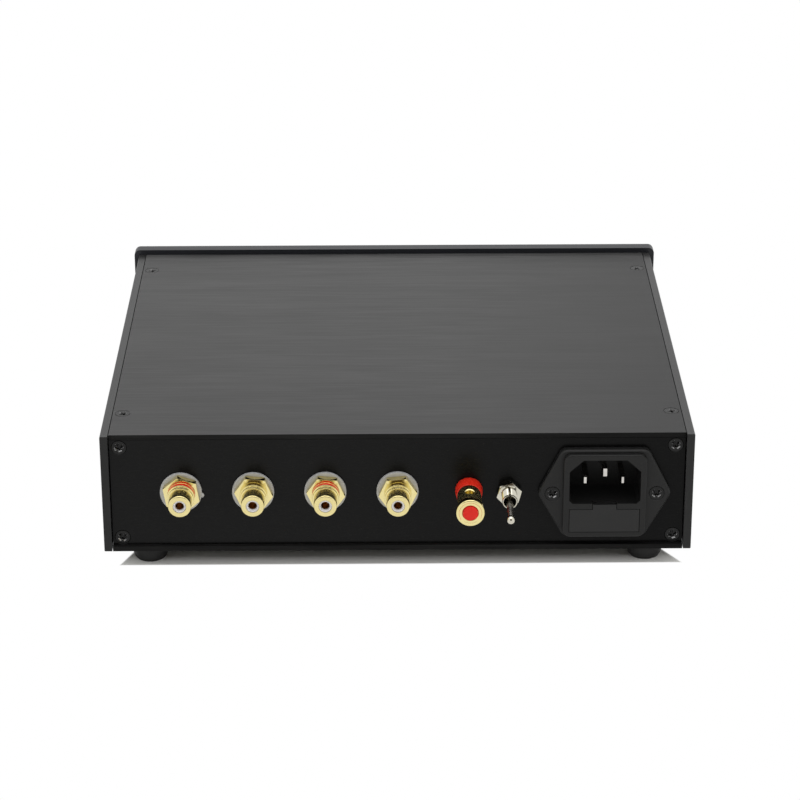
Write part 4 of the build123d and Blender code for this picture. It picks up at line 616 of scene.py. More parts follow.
def placed(shapes, place):
    """Shapes of (vertices, faces) as parts of one object in its first material."""
    return [(place(vertices), faces, 0) for vertices, faces in shapes]


def middle(node):
    """Middle of a CAD node's box, x and z."""
    low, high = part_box(node)
    return (low.x + high.x) / 2, (low.z + high.z) / 2


JACK_XS = [middle(f"rca_shell_{number}")[0] for number in range(1, 5)]
JACK_Z = middle("rca_contacts")[1]
POST_X = middle("ground_post_body")[0]
TOGGLE_X, TOGGLE_Z = middle("toggle_bushing")


# ------------------------------------------------------------------ phono jacks
JACK_TURNS = (-20.0, -6.0, -6.0, 5.0)  # of the hexagons, in degrees
JACK_SHIFTS = ((0.30, 0.29), (0.30, 0.35), (0.21, 0.20), (0.13, 0.02))  # off the hole's middle, a and b
JACK_REACH = 14.6
JACK_TAIL = -14.0
STUD = 4.0
COLLAR = 5.3
COLLAR_END = 6.7
STEP = 4.9
BARREL = 4.4
BARREL_START = 7.9
TIP_START = 11.0
SLEEVE = 2.5
HEXAGON_FLATS = 12.9
HEXAGON_FACE = 7.1
HEXAGON_TOP = 4.4
GROOVE = 4.8
GROOVE_LOW, GROOVE_HIGH = 4.6, 6.2
CLEARANCE = 0.05
WASHER = 8.05
WASHER_TOP = 1.25
SPIGOT = 4.9  # the washer's stretch in the panel's hole
SPIGOT_END = -2.6
CONTACT = 1.9
CONTACT_REACH = 13.15
CONTACT_BORE = 1.65
BORE_FLOOR = -0.4
PIN, PIN_TAIL = 1.1, -18.0
TAB_MIDDLE = (WASHER, -1.3, 0.66)
TAB_HALF_AXES = (0.85, 0.95, 0.55)


def jack_shell(turn, ringed):
    """Stud, hexagon, collar, step and round-ended barrel round the sleeve's bore."""
    bore = SLEEVE + CLEARANCE
    outline = [(bore, JACK_TAIL), (STUD, JACK_TAIL), (STUD, WASHER_TOP)]
    outline += [(STUD, HEXAGON_TOP), (COLLAR, HEXAGON_TOP)]
    if ringed:
        outline += [(COLLAR, GROOVE_LOW), (GROOVE, GROOVE_LOW)]
        outline += [(GROOVE, GROOVE_HIGH), (COLLAR, GROOVE_HIGH)]
    outline += [(COLLAR, COLLAR_END), (STEP, COLLAR_END), (STEP, BARREL_START)]
    outline += [(BARREL, BARREL_START), (BARREL, TIP_START)]
    tip = [(BARREL, TIP_START), (BARREL, JACK_REACH), (bore, JACK_REACH)]
    profile = soften(outline, 0.14) + soften(tip, 0.5, 8)[1:]
    hexagon_start = WASHER_TOP + CLEARANCE
    hexagon = hex_ring(HEXAGON_FLATS, STUD, hexagon_start, HEXAGON_TOP, turn, HEXAGON_FACE)
    return [turned(profile), hexagon]


def washer_tab():
    """Small moulding tab on a washer's rim: an ellipsoid.

    Its points are its middle plus its half axes times (cos s cos t, cos s sin t, sin s).
    """
    rows, columns = 13, 32
    tilts = np.linspace(-math.pi / 2, math.pi / 2, rows)
    angles = round_angles(columns)
    globe = [
        np.outer(np.cos(tilts), np.cos(angles)),
        np.outer(np.cos(tilts), np.sin(angles)),
        np.outer(np.sin(tilts), np.ones(columns)),
    ]
    points = np.array(TAB_MIDDLE) + np.stack(globe, axis=2) * TAB_HALF_AXES
    return points.reshape(-1, 3), grid_faces(rows, columns)


def make_jacks(materials):
    holes = [to_panel(x, JACK_Z) for x in JACK_XS]
    places = [off_centre(hole, shift, WASHER_TOP) for hole, shift in zip(holes, JACK_SHIFTS)]
    looks = [materials["gold_plate"], materials["barrel_gold"]]
    for index, (place, turn) in enumerate(zip(places, JACK_TURNS)):
        parts = []
        for vertices, faces in jack_shell(turn, ringed=index % 2 == 0):
            on_barrel = vertices[faces, 2].min(axis=1) > BARREL_START
            parts.append((place(vertices), faces[~on_barrel], 0))
            parts.append((place(vertices), faces[on_barrel], 1))
        add_mesh(f"jack_shell_{index + 1}", parts, looks, f"rca_shell_{index + 1}")

    front = JACK_REACH - CLEARANCE
    seat, seat_end = CONTACT + CLEARANCE, CONTACT_REACH + CLEARANCE
    sleeve = [(SLEEVE, JACK_TAIL), (SLEEVE, front), (2.1, front)]
    sleeve += [(CONTACT_BORE, front - 0.5), (CONTACT_BORE, seat_end), (seat, seat_end)]
    sleeve = [(seat, JACK_TAIL), *soften(sleeve, 0.2)]
    contact = [(0, PIN_TAIL), (PIN, PIN_TAIL), (PIN, JACK_TAIL), (CONTACT, JACK_TAIL)]
    contact += [(CONTACT, CONTACT_REACH), (CONTACT_BORE, CONTACT_REACH)]
    contact += [(CONTACT_BORE, BORE_FLOOR), (0, BORE_FLOOR)]
    washer_bore = STUD + CLEARANCE
    washer = [(washer_bore, SPIGOT_END), (SPIGOT, SPIGOT_END), (SPIGOT, 0)]
    washer += [(WASHER, 0), (WASHER, WASHER_TOP), (washer_bore, WASHER_TOP)]
    ring_bore, ring_low, ring_high = GROOVE + CLEARANCE, GROOVE_LOW + CLEARANCE, GROOVE_HIGH - CLEARANCE
    ring = [(ring_bore, ring_low), (COLLAR, ring_low), (COLLAR, ring_high), (ring_bore, ring_high)]
    sets = (
        ("jack_sleeves", sleeve, "white_sleeve", "rca_insulators", places),
        ("jack_contacts", contact, "contact_gold", "rca_contacts", places),
        ("jack_washers", soften(washer, 0.08), "grey_washer", "rca_outer_washers", holes),
        ("jack_rings", soften(ring, 0.12), "red_plastic", "rca_red_rings", places[::2]),
    )
    for name, profile, material, node, spots in sets:
        parts = []
        for place in spots:
            parts += placed([turned(profile)], place)
        if name == "jack_washers":
            parts += placed([washer_tab()], holes[0])
        add_mesh(name, parts, [materials[material]], node)


# ------------------------------------------------------------------ ground post
POST_SHIFT = (-0.30, 0.0)  # off the hole's middle, a and b
BASE_BORE = 2.5
BASE_FOOT = 5.3  # radius of the red base up to the end of its straight part
BASE_STRAIGHT = 1.6
BASE_TOP = 4.8
BASE_HEIGHT = 5.4
INNER_RING = (6.0, -5.0, -3.05)  # the base's other half, inside the panel: radius and both faces
POST_STUD = 2.45
POST_TAIL = -17.0
POST_RADIUS = 4.65
POST_START = BASE_HEIGHT + CLEARANCE
POST_TOP = 16.8
POST_BEVEL = 0.3
WELL_RADIUS = 1.96  # bore of the body that takes the knob's stem
WELL_FLOOR = 9.0
HOLE_D = 11.2  # distance of the cross hole's axis from the panel
HOLE_BORE, HOLE_MOUTH = 1.8, 2.1  # its radius inside and at the body's face
OUTER_PATCH = (0.6, 2.6)  # half angle and half height of the patch round the hole
WELL_PATCH = (1.38, 2.0)
SIDE_COLUMNS = 16
POST_WASHER = 5.0
POST_WASHER_START = POST_TOP + CLEARANCE
POST_WASHER_END = 17.65
KNOB_START = POST_WASHER_END + CLEARANCE
KNOB_RADIUS = 5.4
KNOB_TOP = 20.9
KNOB_LIP = 4.35
STEM = 1.9
STEM_END = 9.1
INSERT_SEAT = 19.7
INSERT_RADIUS = 2.87
INSERT_TOP = 21.4


def wall_angles(half):
    """Angles from b of the columns round a wall: even over the hole's patch and between patches."""
    steps = np.arange(SIDE_COLUMNS) / SIDE_COLUMNS
    starts = (-half, half, math.pi - half, math.pi + half)
    spans = (2 * half, math.pi - 2 * half, 2 * half, math.pi - 2 * half)
    return np.concatenate([start + span * steps for start, span in zip(starts, spans)])


def wall_points(radius, angles, d):
    """Points of a round wall about d: (r sin t, r cos t, d), with t counted from b."""
    return np.stack([radius * np.sin(angles), radius * np.cos(angles), d + 0 * angles], axis=-1)


def wall_rows(rows, half):
    """Rows of a wall at each (radius, d), with columns that meet the hole's patches."""
    angles = wall_angles(half)
    return [wall_points(radius, angles, d) for radius, d in rows]


def drilled_wall(radius, hole, half, half_d):
    """The stretch of a round wall that the cross hole passes, and the hole's edge on its upper side.

    Unrolled, each patch runs from a square of half width radius * half to the hole's edge,
    whose point at angle p is (radius * asin(hole cos p / radius), hole sin p).
    """
    shapes = []
    levels = HOLE_D + half_d * np.linspace(-1, 1, SIDE_COLUMNS + 1)
    for start in (half, math.pi + half):
        angles = np.linspace(start, start + math.pi - 2 * half, SIDE_COLUMNS + 1)
        points = np.concatenate([wall_points(radius, angles, d) for d in levels])
        shapes.append((points, grid_faces(SIDE_COLUMNS + 1, SIDE_COLUMNS + 1, False, False)))
    run = np.linspace(-1, 1, SIDE_COLUMNS + 1)[:-1]
    one = np.ones(SIDE_COLUMNS)
    square_s = np.concatenate([run, one, -run, -one]) * half
    square_d = np.concatenate([-one, run, one, -run]) * half_d
    p = np.arctan2(square_d / half_d, square_s / half)
    edge_s = np.arcsin(hole * np.cos(p) / radius)
    edge_d = hole * np.sin(p)
    rings = 7
    for middle_angle in (0.0, math.pi):
        patch = []
        for t in np.linspace(0, 1, rings):
            s = middle_angle + (1 - t) * square_s + t * edge_s
            d = (1 - t) * square_d + t * edge_d
            patch.append(wall_points(radius, s, HOLE_D + d))
        shapes.append((np.concatenate(patch), grid_faces(rings, 4 * SIDE_COLUMNS)))
    return shapes, p


def post_body():
    """Stud and body: revolved ends, two drilled walls and the two halves of the hole between them."""
    wide, wide_d = OUTER_PATCH
    narrow, narrow_d = WELL_PATCH
    shapes, p = drilled_wall(POST_RADIUS, HOLE_MOUTH, wide, wide_d)
    well_shapes, well_p = drilled_wall(WELL_RADIUS, HOLE_BORE, narrow, narrow_d)
    shapes += well_shapes
    edges = (
        (POST_RADIUS, HOLE_MOUTH, p),
        (POST_RADIUS - POST_BEVEL, HOLE_BORE, p),
        (WELL_RADIUS, HOLE_BORE, well_p),
    )
    for side in (1, -1):
        rows = []
        for radius, hole, angle in edges:
            a = hole * np.cos(angle) * side
            b = np.sqrt(radius**2 - a**2) * side
            rows.append(np.stack([a, b, HOLE_D + hole * np.sin(angle)], axis=-1))
        shapes.append((np.concatenate(rows), grid_faces(len(rows), 4 * SIDE_COLUMNS)))
    face_radius = POST_RADIUS - POST_BEVEL
    lower = [(0, POST_TAIL), (POST_STUD, POST_TAIL), (POST_STUD, POST_START)]
    lower += [(face_radius, POST_START), (POST_RADIUS, POST_START + POST_BEVEL)]
    lower += [(POST_RADIUS, HOLE_D - wide_d)]
    upper = [(POST_RADIUS, HOLE_D + wide_d), (POST_RADIUS, POST_TOP - POST_BEVEL)]
    upper += [(face_radius, POST_TOP)]
    well = [(WELL_RADIUS, POST_TOP), (WELL_RADIUS, HOLE_D + narrow_d)]
    floor = [(WELL_RADIUS, HOLE_D - narrow_d), (WELL_RADIUS, WELL_FLOOR), (0, WELL_FLOOR)]
    stretches = (
        wall_rows(lower, wide),
        wall_rows(upper, wide) + wall_rows(well, narrow),
        wall_rows(floor, narrow),
    )
    for rows in stretches:
        shapes.append((np.concatenate(rows), grid_faces(len(rows), 4 * SIDE_COLUMNS)))
    return shapes


def make_ground_post(materials):
    place = off_centre(to_panel(POST_X, JACK_Z), POST_SHIFT, -0.1)
    base = [(BASE_BORE, 0), (BASE_FOOT, 0), (BASE_FOOT, BASE_STRAIGHT)]
    base += [(BASE_TOP, BASE_HEIGHT), (BASE_BORE, BASE_HEIGHT)]
    ring, ring_low, ring_high = INNER_RING
    inner_ring = [(BASE_BORE, ring_low), (ring, ring_low), (ring, ring_high), (BASE_BORE, ring_high)]
    base_parts = placed([turned(soften(base, 0.2)), turned(inner_ring)], place)
    add_mesh("post_base", base_parts, [materials["red_plastic"]], "ground_post_base", sharp=20)
    body_parts = placed(post_body(), place)
    add_mesh("post_body", body_parts, [materials["post_gold"]], "ground_post_body")
    washer = [(WELL_RADIUS, POST_WASHER_START), (POST_WASHER, POST_WASHER_START)]
    washer += [(POST_WASHER, POST_WASHER_END), (WELL_RADIUS, POST_WASHER_END)]
    head = [(STEM, KNOB_START), (KNOB_RADIUS, KNOB_START)]
    head += [(KNOB_RADIUS, KNOB_TOP), (KNOB_LIP, KNOB_TOP)]
    dish = [(KNOB_LIP, KNOB_TOP), (4.2, 20.75), (3.2, 20.75), (2.95, 20.6), (2.95, INSERT_SEAT)]
    knob = [(0, STEM_END), (STEM, STEM_END), *soften(head, 0.6, 8)]
    knob += [*soften(dish, 0.1)[1:], (0, INSERT_SEAT)]
    insert_foot = INSERT_SEAT + CLEARANCE
    crown = [(INSERT_RADIUS, insert_foot), (INSERT_RADIUS, INSERT_TOP), (1.0, INSERT_TOP)]
    insert = [(0, insert_foot), *soften(crown, 0.3), (0, INSERT_TOP)]
    pieces = (
        ("washer", soften(washer, 0.25), "gold_plate", "post_washer"),
        ("knob", knob, "gold_plate", "post_knob"),
        ("insert", insert, "red_insert", "post_knob"),
    )
    for piece, profile, material, body in pieces:
        parts = placed([turned(profile)], place)
        add_mesh(f"post_{piece}", parts, [materials[material]], f"ground_post_{piece}", body)


# ------------------------------------------------------------------ toggle switch
THREAD_RADIUS = 2.95
THREAD_ROOT = 2.72
THREAD_PITCH = 0.5
THREAD_START, THREAD_END = 1.2, 10.0
BUSHING_TAIL, BUSHING_TOP = -5.1, 10.2
KEYWAY_HALF_WIDTH = 0.45
KEYWAY_FLOOR = 2.5
NUT_FLATS, NUT_BORE, NUT_FACE = 8.6, 3.0, 4.2  # the last is the radius where its corners are cut
PIVOT_D = 6.1
TILT = 12.5  # lever below the bushing's axis, in degrees


def make_bushing(materials):
    """Bushing: a ring whose outer radius falls to the thread's root every pitch, with a keyway on top.

    Columns within half the keyway's width of the top are drawn in to the keyway's floor.
    """
    mouth, throat, throat_d = 2.4, 1.86, 7.0
    rows = [(throat, BUSHING_TAIL), (THREAD_RADIUS, BUSHING_TAIL), (THREAD_RADIUS, 0.2)]
    crest = THREAD_START
    while crest + THREAD_PITCH < THREAD_END:
        rows += [(THREAD_RADIUS, crest), (THREAD_ROOT, crest + THREAD_PITCH / 2)]
        crest += THREAD_PITCH
    rows += [(THREAD_RADIUS, crest), (THREAD_RADIUS - 0.15, BUSHING_TOP)]
    rows += [(mouth + 0.1, BUSHING_TOP), (mouth, BUSHING_TOP - 0.1), (throat, throat_d)]
    vertices, faces = turned(rows, 144)
    a, b, d = vertices.T
    radius = np.hypot(a, b)
    keyed = (np.abs(a) < KEYWAY_HALF_WIDTH) & (b > 0) & (d > 0.1) & (radius > KEYWAY_FLOOR + 0.02)
    vertices[keyed, :2] *= (KEYWAY_FLOOR / radius[keyed])[:, None]
    parts = placed([(vertices, faces)], to_panel(TOGGLE_X, TOGGLE_Z))
    add_mesh("switch_bushing", parts, [materials["nickel_plate"]], "toggle_bushing", sharp=25)


def make_lever(materials):
    """Lever turned about its own axis with a ball at each end of its shaft, tilted about the pivot."""
    ball, tail, root, neck, end = 1.8, 0.75, 1.42, 1.1, 1.6
    tail_d, root_d, neck_d, end_d = -3.2, 1.6, 12.2, 13.8
    pin, pin_half = 0.5, 2.55
    low = math.asin(-math.sqrt(ball**2 - tail**2) / ball)
    high = math.acos(root / ball)
    profile = [(0, tail_d), (tail, tail_d)]
    profile += [(ball * math.cos(t), ball * math.sin(t)) for t in np.linspace(low, high, 17)]
    profile += [(root - 0.02, root_d), (neck, neck_d)]
    end_row = len(profile) - 1
    end_angles = np.linspace(-0.45, math.pi / 2, 20)[:-1]
    profile += [(end * math.cos(t), end_d + end * math.sin(t)) for t in end_angles]
    profile += [(0, end_d + end)]
    segments = 64
    vertices, faces = turned(profile, segments)
    shaft_faces, end_faces = np.split(faces, [end_row * segments])
    pin_profile = [(0, -pin_half), (pin, -pin_half), (pin, pin_half), (0, pin_half)]
    pin_vertices, pin_faces = turned(pin_profile, 32)
    shapes = (
        (vertices, shaft_faces, 0),
        (vertices, end_faces, 1),
        (pin_vertices[:, [2, 0, 1]], pin_faces, 0),
    )
    cos, sin = math.cos(math.radians(TILT)), math.sin(math.radians(TILT))
    place = to_panel(TOGGLE_X, TOGGLE_Z)
    parts = []
    for points, quads, number in shapes:
        a, b, d = points.T
        tilted = np.stack([a, b * cos - d * sin, b * sin + d * cos + PIVOT_D], axis=1)
        parts.append((place(tilted), quads, number))
    # The shaft takes the darker copy of the nickel plate as painted shade; the ball end keeps the
    # brighter plate.
    looks = [materials["lever_nickel_painted_shade"], materials["nickel_plate"]]
    add_mesh("switch_lever", parts, looks, "toggle_lever", "selector_lever", sharp=40)


def make_switch_nuts(materials):
    nickel = [materials["nickel_plate"]]
    outer_nut = hex_ring(NUT_FLATS, NUT_BORE, 1.15, 3.85, 15.0, NUT_FACE)
    inner_nut = hex_ring(NUT_FLATS, NUT_BORE, -5.0, -3.05, 0.0, NUT_FACE)
    low, high, rim = 0.05, 1.1, 4.2
    washer = turned(soften([(NUT_BORE, low), (rim, low), (rim, high), (NUT_BORE, high)], 0.15))
    place = to_panel(TOGGLE_X, TOGGLE_Z)
    add_mesh("switch_nuts", placed([outer_nut, inner_nut], place), nickel, "toggle_nuts")
    add_mesh("switch_lock_washer", placed([washer], place), nickel, "toggle_lock_washer")


# ------------------------------------------------------------------ countersunk screws
HEAD_RADIUS = 2.8
HEAD_TOP = -0.08
HEAD_RIM = -0.23
CONE_END = -1.58
SHANK_RADIUS = 1.45
SLOT_HALF_WIDTH = 0.35
SLOT_SLOPE = 0.28
ARM_END = 1.75
ARM_FALL = 0.75
RECESS_DEPTH = 1.1
RECESS_REACH = 1.9
SCREW_TURNS = (40.0, 20.0, 20.0, 45.0)
INLET_SCREW_TURNS = (45.0, 35.0)
FLANGE_TOP = 3.0 * MM  # face of the inlet's flange above the panel


def recess_depth(x, y):
    """Depth of a cross recess: two slots with sloping walls that deepen towards the middle.

    The depth is its full value times the smaller of two shares. One falls from 1 at a slot's
    floor to 0 over its sloping wall. The other rises from 0 at the arm's end over the arm's fall.
    """
    near, far = np.minimum(abs(x), abs(y)), np.maximum(abs(x), abs(y))
    across = np.clip((SLOT_HALF_WIDTH + SLOT_SLOPE - near) / SLOT_SLOPE, 0, 1)
    along = np.clip((ARM_END - far) / ARM_FALL, 0, 1)
    return RECESS_DEPTH * np.minimum(across, along)


def screw(length, turn):
    """Countersunk screw: head face with its recess, rim, cone and shank, as rows about the axis.

    Returned with its faces in two lots: all but the sloping upper walls of the recess, and those.
    """
    segments = 96
    ones = np.ones(segments)
    angles = round_angles(segments)
    recess_radii = np.linspace(0, RECESS_REACH, 27)
    rows = []
    for r in (*recess_radii, 2.2, 2.5, 2.68, 2.76, HEAD_RADIUS):
        depth = recess_depth(r * np.cos(angles), r * np.sin(angles))
        rounding = 0.05 * max(0.0, (r - 2.6) / 0.2) ** 2
        rows.append((r * ones, HEAD_TOP - rounding - depth))
    below = [(HEAD_RADIUS, HEAD_RIM), (SHANK_RADIUS, CONE_END)]
    below += [(SHANK_RADIUS, -length), (0.0, -length)]
    rows += [(r * ones, d * ones) for r, d in below]
    t = angles + math.radians(turn)
    vertices = np.concatenate([np.stack([r * np.cos(t), r * np.sin(t), d], axis=1) for r, d in rows])
    faces = grid_faces(len(rows), segments)
    depths = HEAD_TOP - vertices[faces, 2]
    radii = np.hypot(*vertices[faces[:, 0], :2].T)
    mean, slope = depths.mean(axis=1), np.ptp(depths, axis=1)
    wall = (radii < RECESS_REACH) & (mean > 0.02) & (mean < 0.55) & (slope > 0.03)
    return vertices, faces[~wall], faces[wall]


def make_screw_set(name, node, places, turns, length, looks):
    parts = []
    for place, turn in zip(places, turns):
        vertices, dark, bright = screw(length, turn)
        points = place(vertices)
        parts += [(points, dark, 0), (points, bright, 1)]
    add_mesh(name, parts, looks, node)


def corner_points(node, axis):
    """Screw axes of a set of four: x, then the other axis, from the corners of the set's box."""
    low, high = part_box(node)
    inset = HEAD_RADIUS * MM
    xs = (high.x - inset, low.x + inset)
    if axis == "y":
        others = (high.y - inset, low.y + inset)
    else:
        others = (low.z + inset, high.z - inset)
    return [(x, other) for x in xs for other in others]


def make_screws(materials):
    top_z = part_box("top_cover")[1].z
    low_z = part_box("bottom_cover")[0].z
    face_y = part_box("front_panel")[0].y
    top = [
        placer((x, y, top_z), (-1, 0, 0), (0, -1, 0), (0, 0, 1))
        for x, y in corner_points("top_cover_screws", "y")
    ]
    bottom = [
        placer((x, y, low_z), (1, 0, 0), (0, -1, 0), (0, 0, -1))
        for x, y in corner_points("bottom_cover_screws", "y")
    ]
    rear = [to_panel(x, z) for x, z in corner_points("rear_panel_screws", "z")]
    front = [
        placer((x, face_y, z), (1, 0, 0), (0, 0, 1), (0, -1, 0))
        for x, z in corner_points("front_panel_screws", "z")
    ]
    low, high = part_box("inlet_screws")
    inset = HEAD_RADIUS * MM
    inlet = [
        placer((x, PANEL_FACE_Y + FLANGE_TOP, TOGGLE_Z), (-1, 0, 0), (0, 0, 1), (0, 1, 0))
        for x in (low.x + inset, high.x - inset)
    ]
    # Recess walls take worn steel with painted glints, dimmer on the covers and the front panel.
    sets = (
        ("top_screws", "top_cover_screws", top, SCREW_TURNS, 6.0, "worn_steel_and_dim_glint"),
        ("bottom_screws", "bottom_cover_screws", bottom, SCREW_TURNS, 6.0, "worn_steel_and_dim_glint"),
        ("rear_screws", "rear_panel_screws", rear, SCREW_TURNS, 10.0, "worn_steel_and_glint"),
        ("front_screws", "front_panel_screws", front, SCREW_TURNS, 14.0, "worn_steel_and_dim_glint"),
        ("inlet_flange_screws", "inlet_screws", inlet, INLET_SCREW_TURNS, 9.4, "worn_steel_and_glint"),
    )
    for name, node, places, turns, length, recess in sets:
        looks = [materials["blackened_steel"], materials[recess]]
        make_screw_set(name, node, places, turns, length, looks)


# ------------------------------------------------------------------ inlet
BLADES = (  # axis a and b, tip d, and the tip's flat: left, right, lower and upper edge from the axis
    (-7.0, 4.0, 0.0, (-0.80, 0.20, -0.95, 1.60)),
    (0.0, 8.0, 1.0, (-0.50, 0.92, -1.60, 1.60)),
    (7.0, 4.0, 0.0, (-0.30, 0.56, -0.95, 1.60)),
)
BLADE_TAIL = -38.0
BLADE_TAPER = 1.2


def blade(a, b, tip, flat):
    """Flat blade 2 x 4 mm whose last stretch narrows on four sides to a flat on its tip."""
    full = (-1.0, 1.0, -2.0, 2.0)
    point = (0.0, 0.0, 0.0, 0.0)
    rows = (
        (point, BLADE_TAIL),
        (full, BLADE_TAIL),
        (full, tip - BLADE_TAPER),
        (flat, tip),
        (point, tip),
    )
    points = []
    for (left, right, low, high), d in rows:
        corners = ((left, low), (right, low), (right, high), (left, high))
        points += [(a + x, b + z, d) for x, z in corners]
    return np.array(points, float), grid_faces(len(rows), 4)


def make_blades(materials):
    place = to_panel(middle("inlet_pins")[0], TOGGLE_Z)
    parts = placed([blade(*values) for values in BLADES], place)
    add_mesh("inlet_blades", parts, [materials["nickel_blade"]], "inlet_pins", sharp=10)


# ------------------------------------------------------------------ feet
FOOT_RADIUS = 7.2
FOOT_HEIGHT = 8.25
FOOT_SWELL = (2.0, 6.8)  # outward and upward
FOOT_POCKET = (4.2, 4.0)  # radius and depth
FOOT_BORE = 2.0


def make_feet(materials):
    """Rubber feet, each with a side that swells as a quarter of an ellipse from the floor up."""
    out, up = FOOT_SWELL
    pocket, pocket_depth = FOOT_POCKET
    quarter = np.linspace(0, math.pi / 2, 14)
    sole = FOOT_RADIUS - out
    profile = [(pocket, 0.0), *((sole + out * math.sin(t), up * (1 - math.cos(t))) for t in quarter)]
    profile += [(FOOT_RADIUS, FOOT_HEIGHT), (FOOT_BORE, FOOT_HEIGHT)]
    profile += [(FOOT_BORE, pocket_depth), (pocket, pocket_depth)]
    low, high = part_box("rubber_feet")
    inset = FOOT_RADIUS * MM
    parts = []
    for x in (low.x + inset, high.x - inset):
        for y in (low.y + inset, high.y - inset):
            place = placer((x, y, low.z), (1, 0, 0), (0, 1, 0), (0, 0, 1))
            parts += placed([turned(profile)], place)
    add_mesh("feet", parts, [materials["black_rubber"]], "rubber_feet")


# ------------------------------------------------------------------ surroundings
FLOOR_HALF = 6.0
STRIP_REAR = (89.85, 0.0)  # rear edge of the shadow strip: y in mm at x = 0, and its slope
STRIP_LEFT = (103.7, 78.4, 0.386)  # left end: x in mm at a y in mm, and its slope
STRIP_RIGHT = (-104.5, 79.2, -0.569)  # right end, the same
STRIP_BEND = 60.0  # y in mm in front of which both ends run straight under the case
STRIP_FRONT = -91.0  # front edge: y in mm
CARD_RADIUS = 0.95
CARD_DARK_RADIUS = 0.48
CARD_DISTANCE = 0.22  # behind the camera
DARK_GLOW, EDGE_GLOW = (0.075, 0.052, 0.030), (1, 1, 1)
WORLD_STRENGTH = 1.07
SOFTBOX_PLACE = (0.0, 0.1, 1.5)
SOFTBOX_SIZE = 1.6
SOFTBOX_POWER = 9


def strip_distances(m):
    """Metres past the shadow strip's rear edge, and the most past any of its edges."""
    x, y = m.axis("X"), m.axis("Y")
    rear_y, rear_slope = STRIP_REAR
    past_rear = m.math("SUBTRACT", y, m.math("ADD", m.math("MULTIPLY", x, rear_slope), rear_y * MM))
    past_front = m.math("SUBTRACT", STRIP_FRONT * MM, y)
    bent_y = m.math("MAXIMUM", y, STRIP_BEND * MM)
    ends = []
    for end_x, end_y, slope in (STRIP_LEFT, STRIP_RIGHT):
        run = m.math("MULTIPLY", m.math("SUBTRACT", bent_y, end_y * MM), slope)
        ends.append(m.math("ADD", run, end_x * MM))
    past_left = m.math("SUBTRACT", x, ends[0])
    past_right = m.math("SUBTRACT", ends[1], x)
    return past_rear, m.largest(past_rear, past_front, past_left, past_right)


def paper_material():
    """Pale paper that glows white outside the shadow strip, to the camera and in reflections only;
    inside the strip a painted shadow darkens it towards the case and a faint painted glow lifts it
    towards the strip's rear edge.
    """
    m = Nodes("floor_paper")
    past_rear, past_any = strip_distances(m)
    beyond = m.ramp(past_any, low=0.0, high=1.0, start=-0.0005, end=0.0004)
    # Faint painted glow that rises towards the strip's rear edge.
    painted_edge_glow = m.ramp(past_rear, low=0.0, high=0.17, start=-0.0075, end=0.0)
    glow = m.largest(beyond, painted_edge_glow)
    path = m.add("ShaderNodeLightPath").outputs
    seen = m.math("ADD", path["Is Camera Ray"], path["Is Glossy Ray"])
    seen = m.math("MINIMUM", m.math("ADD", seen, path["Is Transmission Ray"]), 1.0)
    # Painted shadow: darker deeper under the case, for the camera and reflections.
    painted_floor_shadow = m.ramp(past_rear, low=0.66, high=1.06, start=-0.0125, end=-0.0045)
    painted_shading = m.math("ADD", m.math("MULTIPLY", seen, m.math("SUBTRACT", painted_floor_shadow, 1.0)), 1.0)
    paper = m.tint(m.noise(3.0), (0.92, 0.92, 0.87), (0.94, 0.94, 0.89))
    m.feed(Base_Color=m.scaled(paper, painted_shading))
    m.set(Roughness=0.9, Specular_IOR_Level=0.1)
    m.mix(m.math("MULTIPLY", seen, glow), m.add("ShaderNodeEmission"))
    return m.material


def make_floor():
    half = FLOOR_HALF
    corners = [(-half, -half, 0), (half, -half, 0), (half, half, 0), (-half, half, 0)]
    mesh = bpy.data.meshes.new("floor")
    mesh.from_pydata(corners, [], [(0, 1, 2, 3)])
    mesh.materials.append(paper_material())
    add_object("floor", mesh)


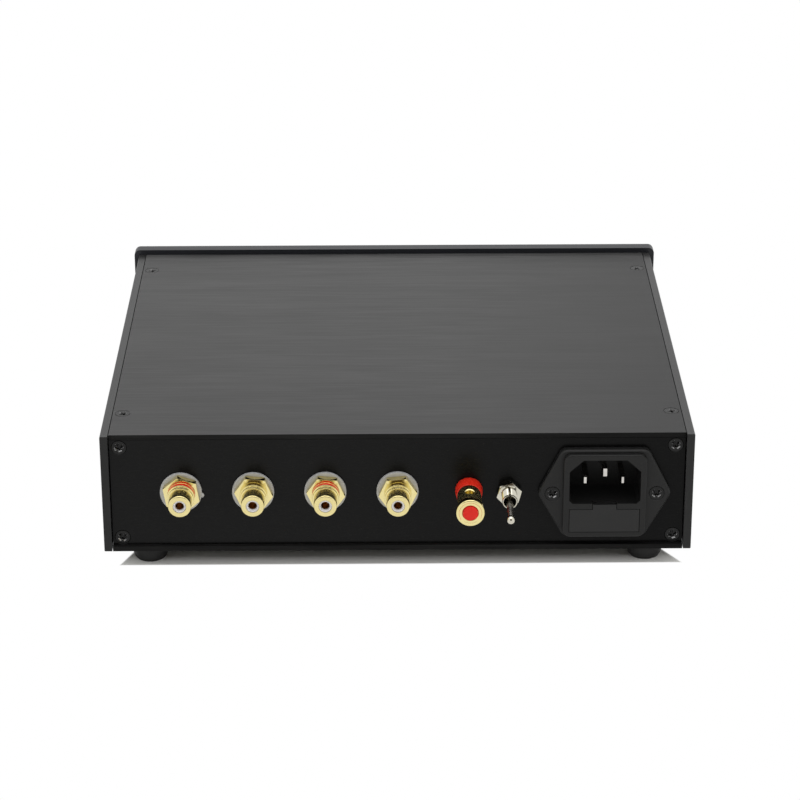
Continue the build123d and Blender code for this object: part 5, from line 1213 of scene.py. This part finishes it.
def card_material(centre):
    """Dark cloth that the camera looks through; its glow rises from its centre to its edge."""
    m = Nodes("dark_cloth")
    distance = m.add("ShaderNodeVectorMath", operation="DISTANCE")
    m.link(m.coords, distance.inputs[0])
    distance.inputs[1].default_value = centre
    out = distance.outputs["Value"]
    m.feed(
        Base_Color=m.tint(m.noise(40), grey(0.008), grey(0.014)),
        Emission_Color=m.tint(out, DARK_GLOW, EDGE_GLOW, CARD_DARK_RADIUS, CARD_RADIUS),
    )
    m.set(Roughness=0.9, Specular_IOR_Level=0.1, Emission_Strength=1.0)
    camera_ray = m.add("ShaderNodeLightPath").outputs["Is Camera Ray"]
    m.mix(camera_ray, m.add("ShaderNodeBsdfTransparent"))
    return m.material


def make_dark_card():
    """Round card behind the camera, which gives the bright metal something dark to mirror."""
    camera = bpy.context.scene.camera.matrix_world
    segments = 48
    spokes = [(math.cos(t), math.sin(t)) for t in round_angles(segments)]
    points = [Vector((CARD_RADIUS * x, CARD_RADIUS * y, CARD_DISTANCE)) for x, y in spokes]
    corners = [tuple(camera @ point) for point in points]
    mesh = bpy.data.meshes.new("dark_card")
    mesh.from_pydata(corners, [], [tuple(range(segments))])
    mesh.materials.append(card_material(camera @ Vector((0, 0, CARD_DISTANCE))))
    add_object("dark_card", mesh)


def make_world():
    """White surroundings that also light the object."""
    world = bpy.data.worlds.new("studio")
    bpy.context.scene.world = world
    world.use_nodes = True
    background = world.node_tree.nodes["Background"]
    background.inputs["Color"].default_value = (1, 1, 1, 1)
    background.inputs["Strength"].default_value = WORLD_STRENGTH


def make_softbox():
    """Square softbox high over the case, turned to the model's origin."""
    data = bpy.data.lights.new("softbox_top", "AREA")
    data.shape = "RECTANGLE"
    data.size = data.size_y = SOFTBOX_SIZE
    data.energy = SOFTBOX_POWER
    light = add_object("softbox_top", data)
    light.location = SOFTBOX_PLACE
    light.rotation_mode = "QUATERNION"
    to_origin = Vector((0, 0, 0)) - Vector(SOFTBOX_PLACE)
    light.rotation_quaternion = to_origin.to_track_quat("-Z", "Y")


materials = make_materials()
make_camera()
paint_nodes(materials)
make_jacks(materials)
make_ground_post(materials)
make_bushing(materials)
make_lever(materials)
make_switch_nuts(materials)
make_screws(materials)
make_blades(materials)
make_feet(materials)
make_floor()
make_dark_card()
make_world()
make_softbox()
bpy.context.scene.view_settings.view_transform = "Standard"

bpy.context.view_layer.update()
